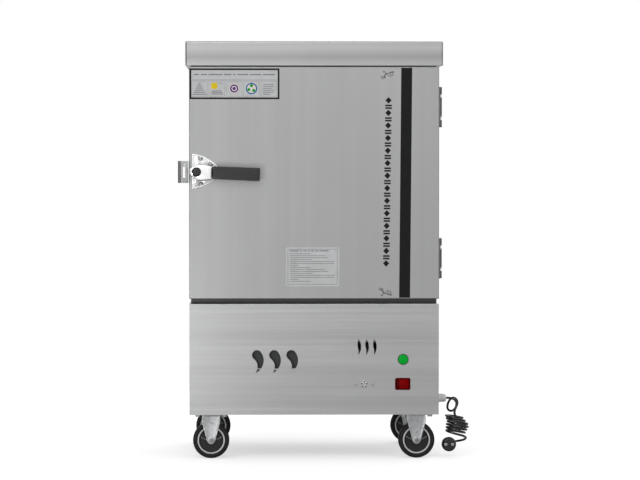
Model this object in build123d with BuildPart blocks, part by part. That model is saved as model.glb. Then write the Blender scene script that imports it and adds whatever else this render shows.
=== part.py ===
from build123d import *
import math
import os

os.makedirs("parts", exist_ok=True)

# A gas steam cabinet for rice trays, standing on four fixed casters.
# Millimetres. +X is to the right of the cart's front, the front faces -Y and +Z is up.
# The pieces are modelled round the middle of the base. At the end they are moved together,
# so that the origin is on the floor below the middle of the whole cart without its cord.

# Sheet metal
sheet = 1.0
frame_sheet = 1.5
fold = 20.0

# Trays and the steam chamber, which set the size of the cabinet round them
tray_width = 600.0
tray_depth = 400.0
tray_height = 48.0
tray_count = 6
tray_pitch = 88.0
tray_first_height = 32.0
tray_top_gap = 18.0
tray_side_gap = 6.0
tray_front_gap = 74.5
tray_back_gap = 11.0
tray_slope = 9.0
tray_rim = 5.0
tray_sheet = 1.0
tray_corner = 14.0
insulation = 30.0
sill_height = 41.0
header_height = 34.0

# Base cabinet, from the top of the casters to the ledge under the door
base_step = 3.5
base_fold = 40.0
base_floor_sheet = 2.0
ledge_depth = 58.0
flame_gap = 51.0

# Cap
cap_side_overhang = 14.0
cap_end_overhang = 10.0
cap_height = 65.0
cap_sheet = 1.5
cap_corner = 6.0
cap_edge = 4.0

# Door
door_overlap = 4.0
door_thickness = 36.0
door_top_gap = 4.0
door_floor_gap = 14.0
door_gap = 11.0
door_edge = 2.5
gasket_width = 14.0
gasket_overlap = 5.0
gasket_clearance = 0.3

# Hinges on the right side
hinge_length = 110.0
hinge_end_distance = 110.0
hinge_knuckle = 20.0
hinge_bush = 8.0
hinge_radius = 6.0
hinge_leaf = 3.0
hinge_leaf_width = 36.0
hinge_offset = 4.0
hinge_setback = 5.0
hinge_pin_radius = 3.0
hinge_bush_radius = 5.0
running_clearance = 0.05
moving_clearance = 0.3

# Latch, with its lever on the door and its keeper on the left side
latch_edge_distance = 20.5
latch_height_above_door_floor = 347.4
latch_droop = 2.4
latch_plate_radius = 50.0
latch_plate_cut = 15.5
latch_plate_sheet = 3.0
latch_stud_radius = 6.0
latch_lever_gap = 3.5
latch_lever_back = 12.0
latch_lever_reach = 42.0
latch_lever_height = 44.0
latch_lever_depth = 24.0
latch_nose_reach = 21.0
latch_nose_height = 14.0
latch_cap_radius = 12.0
latch_cap_height = 6.0
grip_length = 131.0
grip_height = 35.0
grip_thickness = 26.0
grip_standoff = 24.0
keeper_height = 60.0
keeper_width = 27.0
keeper_sheet = 3.0
keeper_door_gap = 3.0
keeper_plate_length = 44.0

# Stickers on the door
sticker_thickness = 0.3
label_width = 245.0
label_height = 86.0
label_margin = 3.0
lower_label_width = 146.0
lower_label_height = 107.0
lower_label_shift = -4.6
lower_label_rise = 88.0
stripe_width = 30.0
stripe_top_distance = 89.1
stripe_bottom_distance = 94.6
stripe_margin = 3.0

# Openings and fittings of the base front
comma_head = 13.6
comma_length = 62.3
comma_bulge = 18.3
comma_pitch = 47.0
comma_side_distance = 231.8
comma_drop = 139.7
crescent_length = 44.0
crescent_bulge = 5.5
crescent_pitch = 21.4
crescent_side_distance = 197.3
crescent_drop = 118.0
lamp_side_distance = 97.9
lamp_drop = 152.0
lamp_rim_radius = 15.0
lamp_rim = 3.0
lamp_lens_radius = 13.7
lamp_lens_height = 5.0
lamp_body_radius = 10.8
lamp_body_length = 28.0
switch_side_distance = 99.0
switch_height_above_floor = 84.2
switch_width = 42.0
switch_height = 33.0
switch_rim = 2.5
switch_body_depth = 24.0
switch_wall = 3.5
rocker_radius = 16.6
rocker_crown = 5.5
rocker_tilt = 8.0
rocker_clearance = 0.4
buzzer_side_distance = 204.5
buzzer_height_above_floor = 84.0
buzzer_radius = 15.0
buzzer_depth = 14.0
buzzer_screw_distance = 23.6
buzzer_hole_radius = 1.7
buzzer_hole_circle = 7.0
buzzer_hole_count = 5

# Tray racks and water tank
rail_reach = 34.0
rail_drop = 15.0
rail_sheet = 2.0
rail_overhang = 32.0
rail_back_gap = 3.0
rack_bar = 3.0
rack_bar_width = 20.0
tank_sheet = 1.5
tank_depth = 110.0
tank_inset = 26.0
tank_front_inset = 45.0
tank_lip = 7.0
tank_corner = 5.0

# Burner and its gas pipe
rail_top_height = 114.5
burner_rail_width = 30.0
burner_rail_sheet = 3.0
burner_rail_distance = 100.0
burner_radius = 120.0
burner_ring_width = 32.0
burner_inner_radius = 50.0
burner_inner_width = 25.0
burner_height = 28.0
burner_arm = 12.0
burner_jets = 24
burner_jet_radius = 1.6
venturi_radius = 14.0
venturi_bore = 11.0
venturi_length = 80.0
gas_pipe_radius = 10.5
gas_pipe_bore = 8.0
gas_pipe_stub = 52.0
gas_nut_radius = 17.0
gas_nut = 8.0
gas_nozzle_radius = 4.0
gas_nozzle_length = 12.0
gas_valve = 46.0
gas_valve_round = 6.0
hole_clearance = 0.5
floor_hole_radius = 150.0

# Fittings at the back
drain_side_distance = 111.5
drain_inset = 50.0
drain_height = 66.5
drain_radius = 13.4
drain_bore = 10.9
drain_bend = 32.0
drain_stub = 57.0
drain_valve_radius = 18.0
drain_valve_length = 34.0
drain_valve_gap = 8.0
drain_stem_height = 12.0
drain_stem_radius = 4.0
drain_lever_length = 80.0
drain_lever_width = 14.0
drain_lever_sheet = 3.0
feed_box_side_distance = 121.5
feed_box_width = 140.0
feed_box_depth = 50.0
feed_box_height = 120.0
feed_box_low = 216.5
feed_box_sheet = 1.5
feed_pipe_radius = 9.0
feed_pipe_height = 246.5
feed_inlet_radius = 10.5
feed_inlet_length = 22.0
feed_inlet_wall = 3.0
vent_side_distance = 138.0
vent_drop = 95.0
vent_radius = 20.0
vent_bore = 18.5
vent_stub = 37.0
vent_flange_radius = 32.0
vent_flange = 2.0

# Control box on the base floor
control_width = 120.0
control_depth = 110.0
control_height = 80.0
control_side_distance = 101.5
control_front_distance = 188.0
control_round = 4.0

# Casters
wheel_top_gap = 20.5
caster_inset = 58.5
wheel_radius = 50.0
wheel_width = 32.0
tyre_round = 6.0
core_radius = 38.45
core_width = 28.0
core_recess_radius = 32.3
core_recess = 4.0
core_web_ribs = 8
core_rib = 3.0
hub_radius = 11.0
axle_radius = 5.0
axle_head_radius = 7.0
axle_head = 4.0
fork_sheet = 2.5
fork_width = 52.0
fork_knee = 26.0
fork_tip_radius = 11.4
fork_wheel_gap = 1.5
caster_plate_width = 90.0
caster_plate_depth = 76.0
caster_plate = 3.0
caster_plate_corner = 8.0
caster_bolt_x = 72.0
caster_bolt_y = 52.0
bolt_radius = 4.0
bolt_head_radius = 6.5
bolt_head = 5.0
screw_radius = 2.4
screw_head_radius = 4.5
screw_head = 2.2

# Mains cord, hanging in a bundle from a gland on the right side
gland_radius = 12.0
gland_length = 27.0
gland_collar = 5.0
gland_tip_radius = 7.0
gland_tail_radius = 9.0
gland_tail = 12.0
gland_front_distance = 100.0
gland_height = 38.0
cord_diameter = 6.5
coil_turns = 6
coil_pitch = 8.2
coil_top_z = 112.0
coil_x = 390.0
coil_sway = 10.0
coil_radius = 23.0
coil_belly = 6.0
coil_ripple = 1.1
coil_tilt = 12.0
coil_start_angle = -50.0
plug_x = 375.0
plug_z = 34.0
plug_rear_y = -165.0
plug_radius = 20.0
plug_length = 28.0
plug_relief = 20.0
plug_relief_radius = 5.5
plug_neck_radius = 11.0
plug_pin_radius = 2.4
plug_pin_length = 19.0
plug_pin_spacing = 19.0

# Sizes that follow from the trays and the walls round them
upper_width = tray_width + 2 * (tray_side_gap + insulation + 2 * sheet)
upper_height = (
    sill_height + tray_first_height + tray_count * tray_pitch + tray_top_gap + header_height
)
base_width = upper_width + 2 * base_step
base_height = rail_top_height + burner_height + flame_gap + tank_depth
chamber_depth = tray_front_gap + tray_depth + tray_back_gap
base_depth = door_thickness + door_gap + frame_sheet + chamber_depth + insulation + 2 * sheet
cap_width = upper_width + 2 * cap_side_overhang
cap_depth = base_depth + 2 * cap_end_overhang
door_width = upper_width + 2 * door_overlap
door_height = upper_height - door_floor_gap - door_top_gap
rail_length = tray_depth + tray_back_gap - rail_back_gap + rail_overhang
caster_height = 2 * wheel_radius + wheel_top_gap + caster_plate

# Places worked out from the sizes
front_y = -base_depth / 2
back_y = base_depth / 2
base_low = caster_height
base_top = base_low + base_height
upper_top = base_top + upper_height
base_half = base_width / 2
upper_half = upper_width / 2
frame_face = front_y + door_thickness + door_gap
wall_start = frame_face + frame_sheet
liner_half = upper_half - sheet - insulation
inner_half = liner_half - sheet
liner_back = back_y - sheet - insulation
inner_back = liner_back - sheet
liner_low = base_top + tank_sheet
sill_top = base_top + sill_height
ceiling = upper_top - header_height
door_half = door_width / 2
door_low = base_top + door_floor_gap
door_top = door_low + door_height
door_back = front_y + door_thickness
hinge_x = door_half + hinge_offset
hinge_y = door_back + hinge_setback
pivot_x = -door_half + latch_edge_distance
pivot_z = door_low + latch_height_above_door_floor
plate_face = front_y - latch_plate_sheet
tank_half = inner_half - tank_inset
tank_front = wall_start + tank_front_inset
tank_back = inner_back - tank_inset
tank_low = base_top - tank_depth
rack_face = inner_half - rack_bar
tray_back = inner_back - tray_back_gap
tray_y = tray_back - tray_depth / 2
burner_seat = base_low + rail_top_height
burner_axis_z = burner_seat + burner_height / 2
comma_x = -base_half + comma_side_distance
comma_z = base_top - comma_drop
crescent_x = base_half - crescent_side_distance
crescent_z = base_top - crescent_drop
lamp_x = base_half - lamp_side_distance
lamp_z = base_top - lamp_drop
switch_x = base_half - switch_side_distance
switch_z = base_low + switch_height_above_floor
buzzer_x = base_half - buzzer_side_distance
buzzer_z = base_low + buzzer_height_above_floor
control_x = base_half - control_side_distance
control_y = front_y + control_front_distance
drain_x = -base_half + drain_side_distance
drain_y = tank_back - drain_inset
drain_z = base_low + drain_height
feed_box_x = base_half - feed_box_side_distance
vent_x = -upper_half + vent_side_distance
vent_z = upper_top - vent_drop
stripe_top_x = door_half - stripe_top_distance
stripe_bottom_x = door_half - stripe_bottom_distance
feed_pipe_z = base_low + feed_pipe_height
gland_y = front_y + gland_front_distance
gland_z = base_low + gland_height
caster_x = base_half - caster_inset
caster_y = base_depth / 2 - caster_inset
caster_places = [(x, y) for y in (-caster_y, caster_y) for x in (-caster_x, caster_x)]
fork_inner = wheel_width / 2 + fork_wheel_gap
fork_outer = fork_inner + fork_sheet
cord_radius = cord_diameter / 2

pieces = {}


def slab(x, y, z, mode=Mode.ADD):
    """A block between two values on each axis, in the part being built."""
    with Locations(((x[0] + x[1]) / 2, (y[0] + y[1]) / 2, (z[0] + z[1]) / 2)):
        Box(x[1] - x[0], y[1] - y[0], z[1] - z[0], mode=mode)


def rod(plane, radius, length, mode=Mode.ADD):
    """A round bar that starts on a plane and runs along its normal."""
    with BuildSketch(plane) as section:
        Circle(radius)
    extrude(section.sketch, amount=length, mode=mode)


def flat_block(x, y, z):
    """A block as a solid of its own."""
    with BuildPart() as block:
        slab(x, y, z)
    return block.part


def group(*parts):
    """Separate solids that share one node."""
    return Compound([solid for part in parts for solid in part.solids()])


def facing_back(x, y, z):
    """A plane at a point, whose normal points to the back of the cart."""
    return Plane((x, y, z), x_dir=(1, 0, 0), z_dir=(0, 1, 0))


def facing_front(x, y, z):
    """A plane at a point, whose normal points to the front of the cart."""
    return Plane((x, y, z), x_dir=(1, 0, 0), z_dir=(0, -1, 0))


def facing_right(x, y, z):
    """A plane at a point, whose normal points to the right of the cart."""
    return Plane((x, y, z), x_dir=(0, 1, 0), z_dir=(1, 0, 0))


def both(half):
    """The two ends of a length that is centred on zero."""
    return (-half, half)


# Cap: a shallow lid with an inward flange that sits on the cabinet walls
with BuildPart() as top_cap:
    with BuildSketch(Plane.XY.offset(upper_top)):
        RectangleRounded(cap_width, cap_depth, cap_corner)
    extrude(amount=cap_height)
    fillet(top_cap.faces().sort_by(Axis.Z)[-1].edges(), cap_edge)
    slab(
        both(cap_width / 2 - cap_sheet),
        both(cap_depth / 2 - cap_sheet),
        (upper_top + cap_sheet, upper_top + cap_height - cap_sheet),
        mode=Mode.SUBTRACT,
    )
    slab(
        both(upper_half - fold),
        both(back_y - 2 * fold - door_thickness),
        (upper_top, upper_top + cap_sheet),
        mode=Mode.SUBTRACT,
    )
pieces["top_cap"] = top_cap.part

# Upper side panels: a skin with a fold at the top and at the bottom
for side, name in ((-1, "left_side_panel"), (1, "right_side_panel")):
    outer = side * upper_half
    skin = sorted((outer, outer - side * sheet))
    turn = sorted((outer, outer - side * fold))
    with BuildPart() as upper_side:
        slab(skin, (wall_start, back_y - sheet), (base_top, upper_top))
        slab(turn, (wall_start, back_y - sheet), (base_top, base_top + sheet))
        slab(turn, (wall_start, back_y - sheet), (upper_top - sheet, upper_top))
    pieces[name] = upper_side.part

# Upper back panel, with the hole of the steam vent
with BuildPart() as back_panel:
    slab(both(upper_half), (back_y - sheet, back_y), (base_top, upper_top))
    for low in (base_top, upper_top - sheet):
        slab(both(upper_half - fold), (back_y - fold, back_y), (low, low + sheet))
    rod(
        facing_back(vent_x, back_y - sheet, vent_z),
        vent_radius + hole_clearance,
        sheet,
        Mode.SUBTRACT,
    )
pieces["back_panel"] = back_panel.part

# Front frame: two stiles and two rails round the door opening
frame_y = (frame_face, wall_start)
stiles = [
    flat_block((-upper_half, -inner_half), frame_y, (base_top, upper_top)),
    flat_block((inner_half, upper_half), frame_y, (base_top, upper_top)),
]
rails = [
    flat_block(both(inner_half), frame_y, (base_top, sill_top)),
    flat_block(both(inner_half), frame_y, (ceiling, upper_top)),
]
pieces["front_frame"] = group(*stiles, *rails)

# Chamber liner: two sides, a ceiling and a back with the vent's hole
liner_y = (wall_start, liner_back)
with BuildPart() as liner_rear:
    slab(both(inner_half), (inner_back, liner_back), (liner_low, ceiling))
    rod(
        facing_back(vent_x, inner_back, vent_z),
        vent_radius + hole_clearance,
        sheet,
        Mode.SUBTRACT,
    )
pieces["chamber_liner"] = group(
    flat_block((-liner_half, -inner_half), liner_y, (liner_low, ceiling + sheet)),
    flat_block((inner_half, liner_half), liner_y, (liner_low, ceiling + sheet)),
    flat_block(both(inner_half), liner_y, (ceiling, ceiling + sheet)),
    liner_rear.part,
)

# Insulation slabs between the liner and the skins
slab_z = (liner_low, upper_top - sheet)
with BuildPart() as rear_insulation:
    slab(both(liner_half), (liner_back, back_y - fold), slab_z)
    slab(
        both(liner_half),
        (back_y - fold, back_y - sheet),
        (base_top + tank_sheet, upper_top - sheet),
    )
    rod(
        facing_back(vent_x, liner_back, vent_z),
        vent_radius + hole_clearance,
        insulation,
        Mode.SUBTRACT,
    )
pieces["wall_insulation"] = group(
    flat_block((-upper_half + sheet, -liner_half), (wall_start, back_y - sheet), slab_z),
    flat_block((liner_half, upper_half - sheet), (wall_start, back_y - sheet), slab_z),
    flat_block(both(liner_half), liner_y, (ceiling + sheet, upper_top - sheet)),
    rear_insulation.part,
)

# Tray racks: two upright bars on each wall, with an angle rail for each tray
rail_y = (inner_back - rail_back_gap - rail_length, inner_back - rail_back_gap)
tray_floors = [sill_top + tray_first_height + level * tray_pitch for level in range(tray_count)]
rack_parts = []
for side in (-1, 1):
    bar_x = sorted((side * inner_half, side * rack_face))
    for bar_y in (rail_y[0] + rail_length / 6, rail_y[1] - rail_length / 6):
        rack_parts.append(
            flat_block(
                bar_x,
                (bar_y - rack_bar_width / 2, bar_y + rack_bar_width / 2),
                (sill_top, tray_floors[-1] + tray_height),
            )
        )
    for tray_floor in tray_floors:
        with BuildPart() as rail:
            rail_x = sorted((side * rack_face, side * (inner_half - rail_reach)))
            slab(rail_x, rail_y, (tray_floor - rail_sheet, tray_floor))
            web_x = sorted((side * rack_face, side * (rack_face - rail_sheet)))
            slab(web_x, rail_y, (tray_floor - rail_drop, tray_floor))
        rack_parts.append(rail.part)
pieces["tray_racks"] = group(*rack_parts)

# Trays: sloping pans with a flat rim
for level, tray_floor in enumerate(tray_floors, start=1):
    seat = tray_floor + moving_clearance
    wall_width = tray_width - 2 * tray_rim
    wall_depth = tray_depth - 2 * tray_rim
    with BuildPart() as tray:
        with BuildSketch(Plane.XY.offset(seat)):
            with Locations((0, tray_y)):
                RectangleRounded(wall_width - 2 * tray_slope, wall_depth - 2 * tray_slope, tray_corner)
        with BuildSketch(Plane.XY.offset(seat + tray_height)):
            with Locations((0, tray_y)):
                RectangleRounded(wall_width, wall_depth, tray_corner)
        loft()
        with BuildSketch(Plane.XY.offset(seat + tray_height - 2 * tray_sheet)):
            with Locations((0, tray_y)):
                RectangleRounded(tray_width, tray_depth, tray_corner + tray_rim)
        extrude(amount=2 * tray_sheet)
        with BuildSketch(Plane.XY.offset(seat + tray_sheet)):
            with Locations((0, tray_y)):
                RectangleRounded(
                    wall_width - 2 * tray_slope - 2 * tray_sheet,
                    wall_depth - 2 * tray_slope - 2 * tray_sheet,
                    tray_corner - tray_sheet,
                )
        with BuildSketch(Plane.XY.offset(seat + tray_height)):
            with Locations((0, tray_y)):
                RectangleRounded(
                    wall_width - 2 * tray_sheet,
                    wall_depth - 2 * tray_sheet,
                    tray_corner - tray_sheet,
                )
        loft(mode=Mode.SUBTRACT)
    pieces[f"tray_{level}"] = tray.part

# Water tank under the chamber, hung by its lip on the folds of the base
with BuildPart() as water_tank:
    slab(both(liner_half + tank_lip), (wall_start, back_y - fold - tank_lip), (base_top, liner_low))
    tank_centre = (tank_front + tank_back) / 2
    with BuildSketch(Plane.XY.offset(tank_low)):
        with Locations((0, tank_centre)):
            RectangleRounded(2 * tank_half, tank_back - tank_front, tank_corner)
    extrude(amount=tank_depth)
    with BuildSketch(Plane.XY.offset(tank_low + tank_sheet)):
        with Locations((0, tank_centre)):
            RectangleRounded(
                2 * (tank_half - tank_sheet),
                tank_back - tank_front - 2 * tank_sheet,
                tank_corner - tank_sheet,
            )
    extrude(amount=tank_depth, mode=Mode.SUBTRACT)
    rod(
        Plane.XY.offset(tank_low).shift_origin((drain_x, drain_y, tank_low)),
        drain_bore,
        tank_sheet,
        Mode.SUBTRACT,
    )
    rod(
        facing_back(feed_box_x, tank_back - tank_sheet, feed_pipe_z),
        feed_pipe_radius - tank_sheet,
        tank_sheet,
        Mode.SUBTRACT,
    )
pieces["water_tank"] = water_tank.part


def comma_outline():
    """A comma-shaped air hole, drawn round the centre of its head."""
    tail = (-0.27 * comma_head, comma_head - comma_length)
    neck = Vector(comma_head, 0).rotate(Axis.Z, 230)
    shoulder = Vector(comma_head, 0).rotate(Axis.Z, 50)
    with BuildSketch() as outline:
        with BuildLine():
            ThreePointArc(neck, (-comma_head, 0), shoulder)
            ThreePointArc(shoulder, (comma_bulge, comma_head - 0.46 * comma_length), tail)
            ThreePointArc(tail, (0.06 * comma_head, comma_head - 0.64 * comma_length), neck)
        make_face()
    return outline.sketch


def crescent_outline():
    """A narrow leaf-shaped slot, drawn round its middle."""
    top = (-0.03 * crescent_length, crescent_length / 2)
    foot = (-0.06 * crescent_length, -crescent_length / 2)
    waist = (-0.08 * crescent_length, -0.03 * crescent_length)
    with BuildSketch() as outline:
        with BuildLine():
            ThreePointArc(top, (crescent_bulge, 0.07 * crescent_length), foot)
            ThreePointArc(foot, (-0.035 * crescent_length, -0.26 * crescent_length), waist)
            ThreePointArc(waist, (-0.1 * crescent_length, 0.22 * crescent_length), top)
        make_face()
    return outline.sketch


comma = comma_outline()
crescent = crescent_outline()

# Base front panel with its ledge under the door, air holes and fittings' holes
with BuildPart() as base_front_panel:
    slab(both(base_half), (front_y, front_y + sheet), (base_low, base_top))
    slab(both(base_half - sheet), (front_y, front_y + ledge_depth), (base_top - sheet, base_top))
    with BuildSketch(facing_front(0, front_y + sheet, 0)):
        with Locations(*[(comma_x + step * comma_pitch, comma_z) for step in (-1, 0, 1)]):
            add(comma)
        with Locations(*[(crescent_x + step * crescent_pitch, crescent_z) for step in (-1, 0, 1)]):
            add(crescent)
        with Locations((lamp_x, lamp_z)):
            Circle(lamp_body_radius + hole_clearance)
        with Locations((switch_x, switch_z)):
            Rectangle(
                switch_width - 2 * switch_rim + 2 * hole_clearance,
                switch_height - 2 * switch_rim + 2 * hole_clearance,
            )
        with Locations((buzzer_x, buzzer_z)):
            with PolarLocations(buzzer_hole_circle, buzzer_hole_count, start_angle=18):
                Circle(buzzer_hole_radius)
        with Locations(
            (buzzer_x - buzzer_screw_distance, buzzer_z), (buzzer_x + buzzer_screw_distance, buzzer_z)
        ):
            Circle(screw_radius + running_clearance)
    extrude(amount=sheet, mode=Mode.SUBTRACT)
pieces["base_front_panel"] = base_front_panel.part

# Base side panels; the right one has the cord gland's hole
fold_y = (front_y + ledge_depth, back_y - base_fold)
for side, name in ((-1, "base_left_panel"), (1, "base_right_panel")):
    outer = side * base_half
    with BuildPart() as base_side:
        skin = sorted((outer, outer - side * sheet))
        turn = sorted((outer, outer - side * base_fold))
        slab(skin, (front_y + sheet, back_y - sheet), (base_low, base_top))
        slab(turn, fold_y, (base_top - sheet, base_top))
        if side > 0:
            rod(
                facing_right(outer - sheet, gland_y, gland_z),
                gland_tail_radius + hole_clearance,
                sheet,
                Mode.SUBTRACT,
            )
    pieces[name] = base_side.part

# Base back panel, with the holes of the gas pipe, the drain and the water feed
with BuildPart() as base_back_panel:
    slab(both(base_half), (back_y - sheet, back_y), (base_low, base_top))
    slab(both(base_half - sheet), (back_y - base_fold, back_y), (base_top - sheet, base_top))
    with BuildSketch(facing_back(0, back_y - sheet, 0)):
        with Locations((0, -burner_axis_z)):
            Circle(gas_pipe_radius + hole_clearance)
        with Locations((drain_x, -drain_z)):
            Circle(drain_radius + hole_clearance)
        with Locations((feed_box_x, -feed_pipe_z)):
            Circle(feed_pipe_radius + hole_clearance)
    extrude(amount=sheet, mode=Mode.SUBTRACT)
pieces["base_back_panel"] = base_back_panel.part

# Base frame: a floor pan with the caster bolt holes, and two angle rails for the burner
pan_x = base_half - sheet
pan_y = back_y - sheet
with BuildPart() as floor_pan:
    slab(both(pan_x), both(pan_y), (base_low, base_low + fold))
    slab(
        both(pan_x - base_floor_sheet),
        both(pan_y - base_floor_sheet),
        (base_low + base_floor_sheet, base_low + fold),
        mode=Mode.SUBTRACT,
    )
    with BuildSketch(Plane.XY.offset(base_low)):
        Circle(floor_hole_radius)
        for x, y in caster_places:
            with Locations((x, y)):
                with GridLocations(caster_bolt_x, caster_bolt_y, 2, 2):
                    Circle(bolt_radius + hole_clearance)
    extrude(amount=base_floor_sheet, mode=Mode.SUBTRACT)
burner_rails = []
for side in (-1, 1):
    middle = side * burner_rail_distance
    with BuildPart() as burner_rail:
        slab(
            both(pan_x),
            (middle - burner_rail_width / 2, middle + burner_rail_width / 2),
            (burner_seat - burner_rail_sheet, burner_seat),
        )
        slab(
            both(pan_x),
            (middle + burner_rail_width / 2 - burner_rail_sheet, middle + burner_rail_width / 2),
            (burner_seat - burner_rail_width, burner_seat),
        )
    burner_rails.append(burner_rail.part)
pieces["base_frame"] = group(floor_pan.part, *burner_rails)

# Burner: two cast rings on a cross, fed through a venturi that points to the back
with BuildPart() as burner:
    with BuildSketch(Plane.XY.offset(burner_seat)):
        Circle(burner_radius)
        Circle(burner_radius - burner_ring_width, mode=Mode.SUBTRACT)
        Rectangle(2 * burner_radius - burner_ring_width, burner_arm)
        Rectangle(burner_arm, 2 * burner_radius - burner_ring_width)
        Circle(burner_inner_radius)
        Circle(burner_inner_radius - burner_inner_width, mode=Mode.SUBTRACT)
    extrude(amount=burner_height)
    jet_circle = burner_radius - burner_ring_width / 2
    with BuildSketch(Plane.XY.offset(burner_seat + burner_height)):
        with PolarLocations(jet_circle, burner_jets):
            Circle(burner_jet_radius)
    extrude(amount=-burner_height / 2, mode=Mode.SUBTRACT)
    venturi_start = burner_radius - burner_ring_width / 2
    rod(facing_back(0, venturi_start, burner_axis_z), venturi_radius, venturi_length)
    rod(
        facing_back(0, venturi_start + burner_ring_width, burner_axis_z),
        venturi_bore,
        venturi_length,
        Mode.SUBTRACT,
    )
pieces["burner"] = burner.part

# Gas pipe, with its valve, from behind the cart to a nozzle in the venturi's mouth
venturi_mouth = venturi_start + venturi_length
with BuildPart() as gas_pipe:
    valve_y = (venturi_mouth + moving_clearance, venturi_mouth + moving_clearance + gas_valve)
    slab(
        both(gas_valve / 2),
        valve_y,
        (burner_axis_z - gas_valve / 2, burner_axis_z + gas_valve / 2),
    )
    fillet(gas_pipe.edges().filter_by(Axis.Y), gas_valve_round)
    rod(facing_back(0, valve_y[1], burner_axis_z), gas_pipe_radius, back_y + gas_pipe_stub - valve_y[1])
    rod(facing_front(0, valve_y[0], burner_axis_z), gas_nozzle_radius, gas_nozzle_length)
    with BuildSketch(facing_back(0, back_y, burner_axis_z)):
        RegularPolygon(gas_nut_radius, 6)
    extrude(amount=gas_nut)
    rod(
        facing_front(0, back_y + gas_pipe_stub, burner_axis_z),
        gas_pipe_bore,
        gas_pipe_stub,
        Mode.SUBTRACT,
    )
pieces["gas_pipe"] = gas_pipe.part

# Control box, with the igniter and the alarm's board
with BuildPart() as control_box:
    slab(
        (control_x - control_width / 2, control_x + control_width / 2),
        (control_y - control_depth / 2, control_y + control_depth / 2),
        (base_low + base_floor_sheet, base_low + base_floor_sheet + control_height),
    )
    fillet(control_box.edges().filter_by(Axis.Z), control_round)
pieces["control_box"] = control_box.part

# Indicator lamp: a rim and body, and a domed lens in the rim
with BuildPart() as lamp_body:
    rod(facing_front(lamp_x, front_y, lamp_z), lamp_rim_radius, lamp_rim)
    rod(facing_back(lamp_x, front_y, lamp_z), lamp_body_radius, lamp_body_length)
    rod(facing_back(lamp_x, front_y - lamp_rim, lamp_z), lamp_lens_radius, lamp_rim / 2, Mode.SUBTRACT)
with BuildPart() as lamp_lens:
    lens_seat = front_y - lamp_rim / 2
    rod(
        facing_front(lamp_x, lens_seat, lamp_z),
        lamp_lens_radius - running_clearance,
        lamp_lens_height,
    )
    fillet(lamp_lens.faces().sort_by(Axis.Y)[0].edges(), lamp_lens_height * 0.7)
pieces["indicator_lamp"] = group(lamp_body.part, lamp_lens.part)

# Switch: a rim with a hollow body behind the panel, and a rocker that turns in it
rocker_y = front_y - switch_rim + rocker_crown / 2
opening_width = 2 * (rocker_radius + rocker_clearance)
opening_height = switch_height - 2 * switch_wall
body_width = switch_width - 2 * switch_rim
body_height = switch_height - 2 * switch_rim
with BuildPart() as switch_bezel:
    with BuildSketch(facing_front(switch_x, front_y, switch_z)):
        RectangleRounded(switch_width, switch_height, 3)
    extrude(amount=switch_rim)
    fillet(switch_bezel.faces().sort_by(Axis.Y)[0].edges(), switch_rim * 0.4)
    slab(
        (switch_x - body_width / 2, switch_x + body_width / 2),
        (front_y, front_y + switch_body_depth),
        (switch_z - body_height / 2, switch_z + body_height / 2),
    )
    slab(
        (switch_x - opening_width / 2, switch_x + opening_width / 2),
        (front_y - switch_rim, front_y + switch_body_depth - sheet),
        (switch_z - opening_height / 2, switch_z + opening_height / 2),
        mode=Mode.SUBTRACT,
    )
pieces["switch_bezel"] = switch_bezel.part
rocker_height = opening_height - 2 * moving_clearance
with BuildPart() as switch_rocker:
    with BuildSketch(Plane.XY.offset(switch_z - rocker_height / 2)):
        with Locations((switch_x, rocker_y)):
            Circle(rocker_radius)
        with Locations((switch_x, rocker_y - rocker_crown - rocker_radius)):
            Rectangle(2 * rocker_radius, 2 * rocker_radius, mode=Mode.SUBTRACT)
    extrude(amount=rocker_height)
rocker_pivot = Axis((switch_x, rocker_y, 0), (0, 0, 1))
pieces["switch_rocker"] = switch_rocker.part.rotate(rocker_pivot, -rocker_tilt)

# Alarm buzzer behind the panel's round holes, with two ears for its screws
with BuildPart() as buzzer:
    rod(facing_back(buzzer_x, front_y + sheet, buzzer_z), buzzer_radius, buzzer_depth)
    with BuildSketch(facing_back(buzzer_x, front_y + sheet, buzzer_z)):
        SlotCenterToCenter(2 * buzzer_screw_distance, 3 * screw_head_radius)
    extrude(amount=frame_sheet)
    for side in (-1, 1):
        rod(
            facing_back(buzzer_x + side * buzzer_screw_distance, front_y + sheet, buzzer_z),
            screw_radius + running_clearance,
            frame_sheet,
            Mode.SUBTRACT,
        )
pieces["buzzer"] = buzzer.part

# Door: an outer skin with returned edges, insulation and an inner skin
with BuildPart() as door_outer_skin:
    slab(both(door_half), (front_y, door_back), (door_low, door_top))
    fillet(door_outer_skin.faces().sort_by(Axis.Y)[0].edges(), door_edge)
    slab(
        both(door_half - sheet),
        (front_y + sheet, door_back),
        (door_low + sheet, door_top - sheet),
        mode=Mode.SUBTRACT,
    )
pieces["door_outer_skin"] = door_outer_skin.part
inside_x = both(door_half - sheet)
inside_z = (door_low + sheet, door_top - sheet)
pieces["door_insulation"] = flat_block(inside_x, (front_y + sheet, door_back - sheet), inside_z)
pieces["door_inner_skin"] = flat_block(inside_x, (door_back - sheet, door_back), inside_z)

# Door gasket: one ring that faces the front frame
opening_middle = (sill_top + ceiling) / 2
gasket_inner_width = 2 * (inner_half + gasket_overlap)
gasket_inner_height = ceiling - sill_top + 2 * gasket_overlap
with BuildPart() as door_gasket:
    with BuildSketch(facing_back(0, door_back, opening_middle)):
        RectangleRounded(
            gasket_inner_width + 2 * gasket_width,
            gasket_inner_height + 2 * gasket_width,
            gasket_width + gasket_overlap,
        )
        RectangleRounded(gasket_inner_width, gasket_inner_height, gasket_overlap, mode=Mode.SUBTRACT)
    extrude(amount=door_gap - gasket_clearance)
pieces["door_gasket"] = door_gasket.part


def sticker(corners):
    """A thin sheet on the door's front with the corners given in x and z."""
    with BuildPart() as film:
        with BuildSketch(facing_front(0, front_y, 0)):
            with BuildLine():
                Polyline(*corners, close=True)
            make_face()
        extrude(amount=sticker_thickness)
    return film.part


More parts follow.
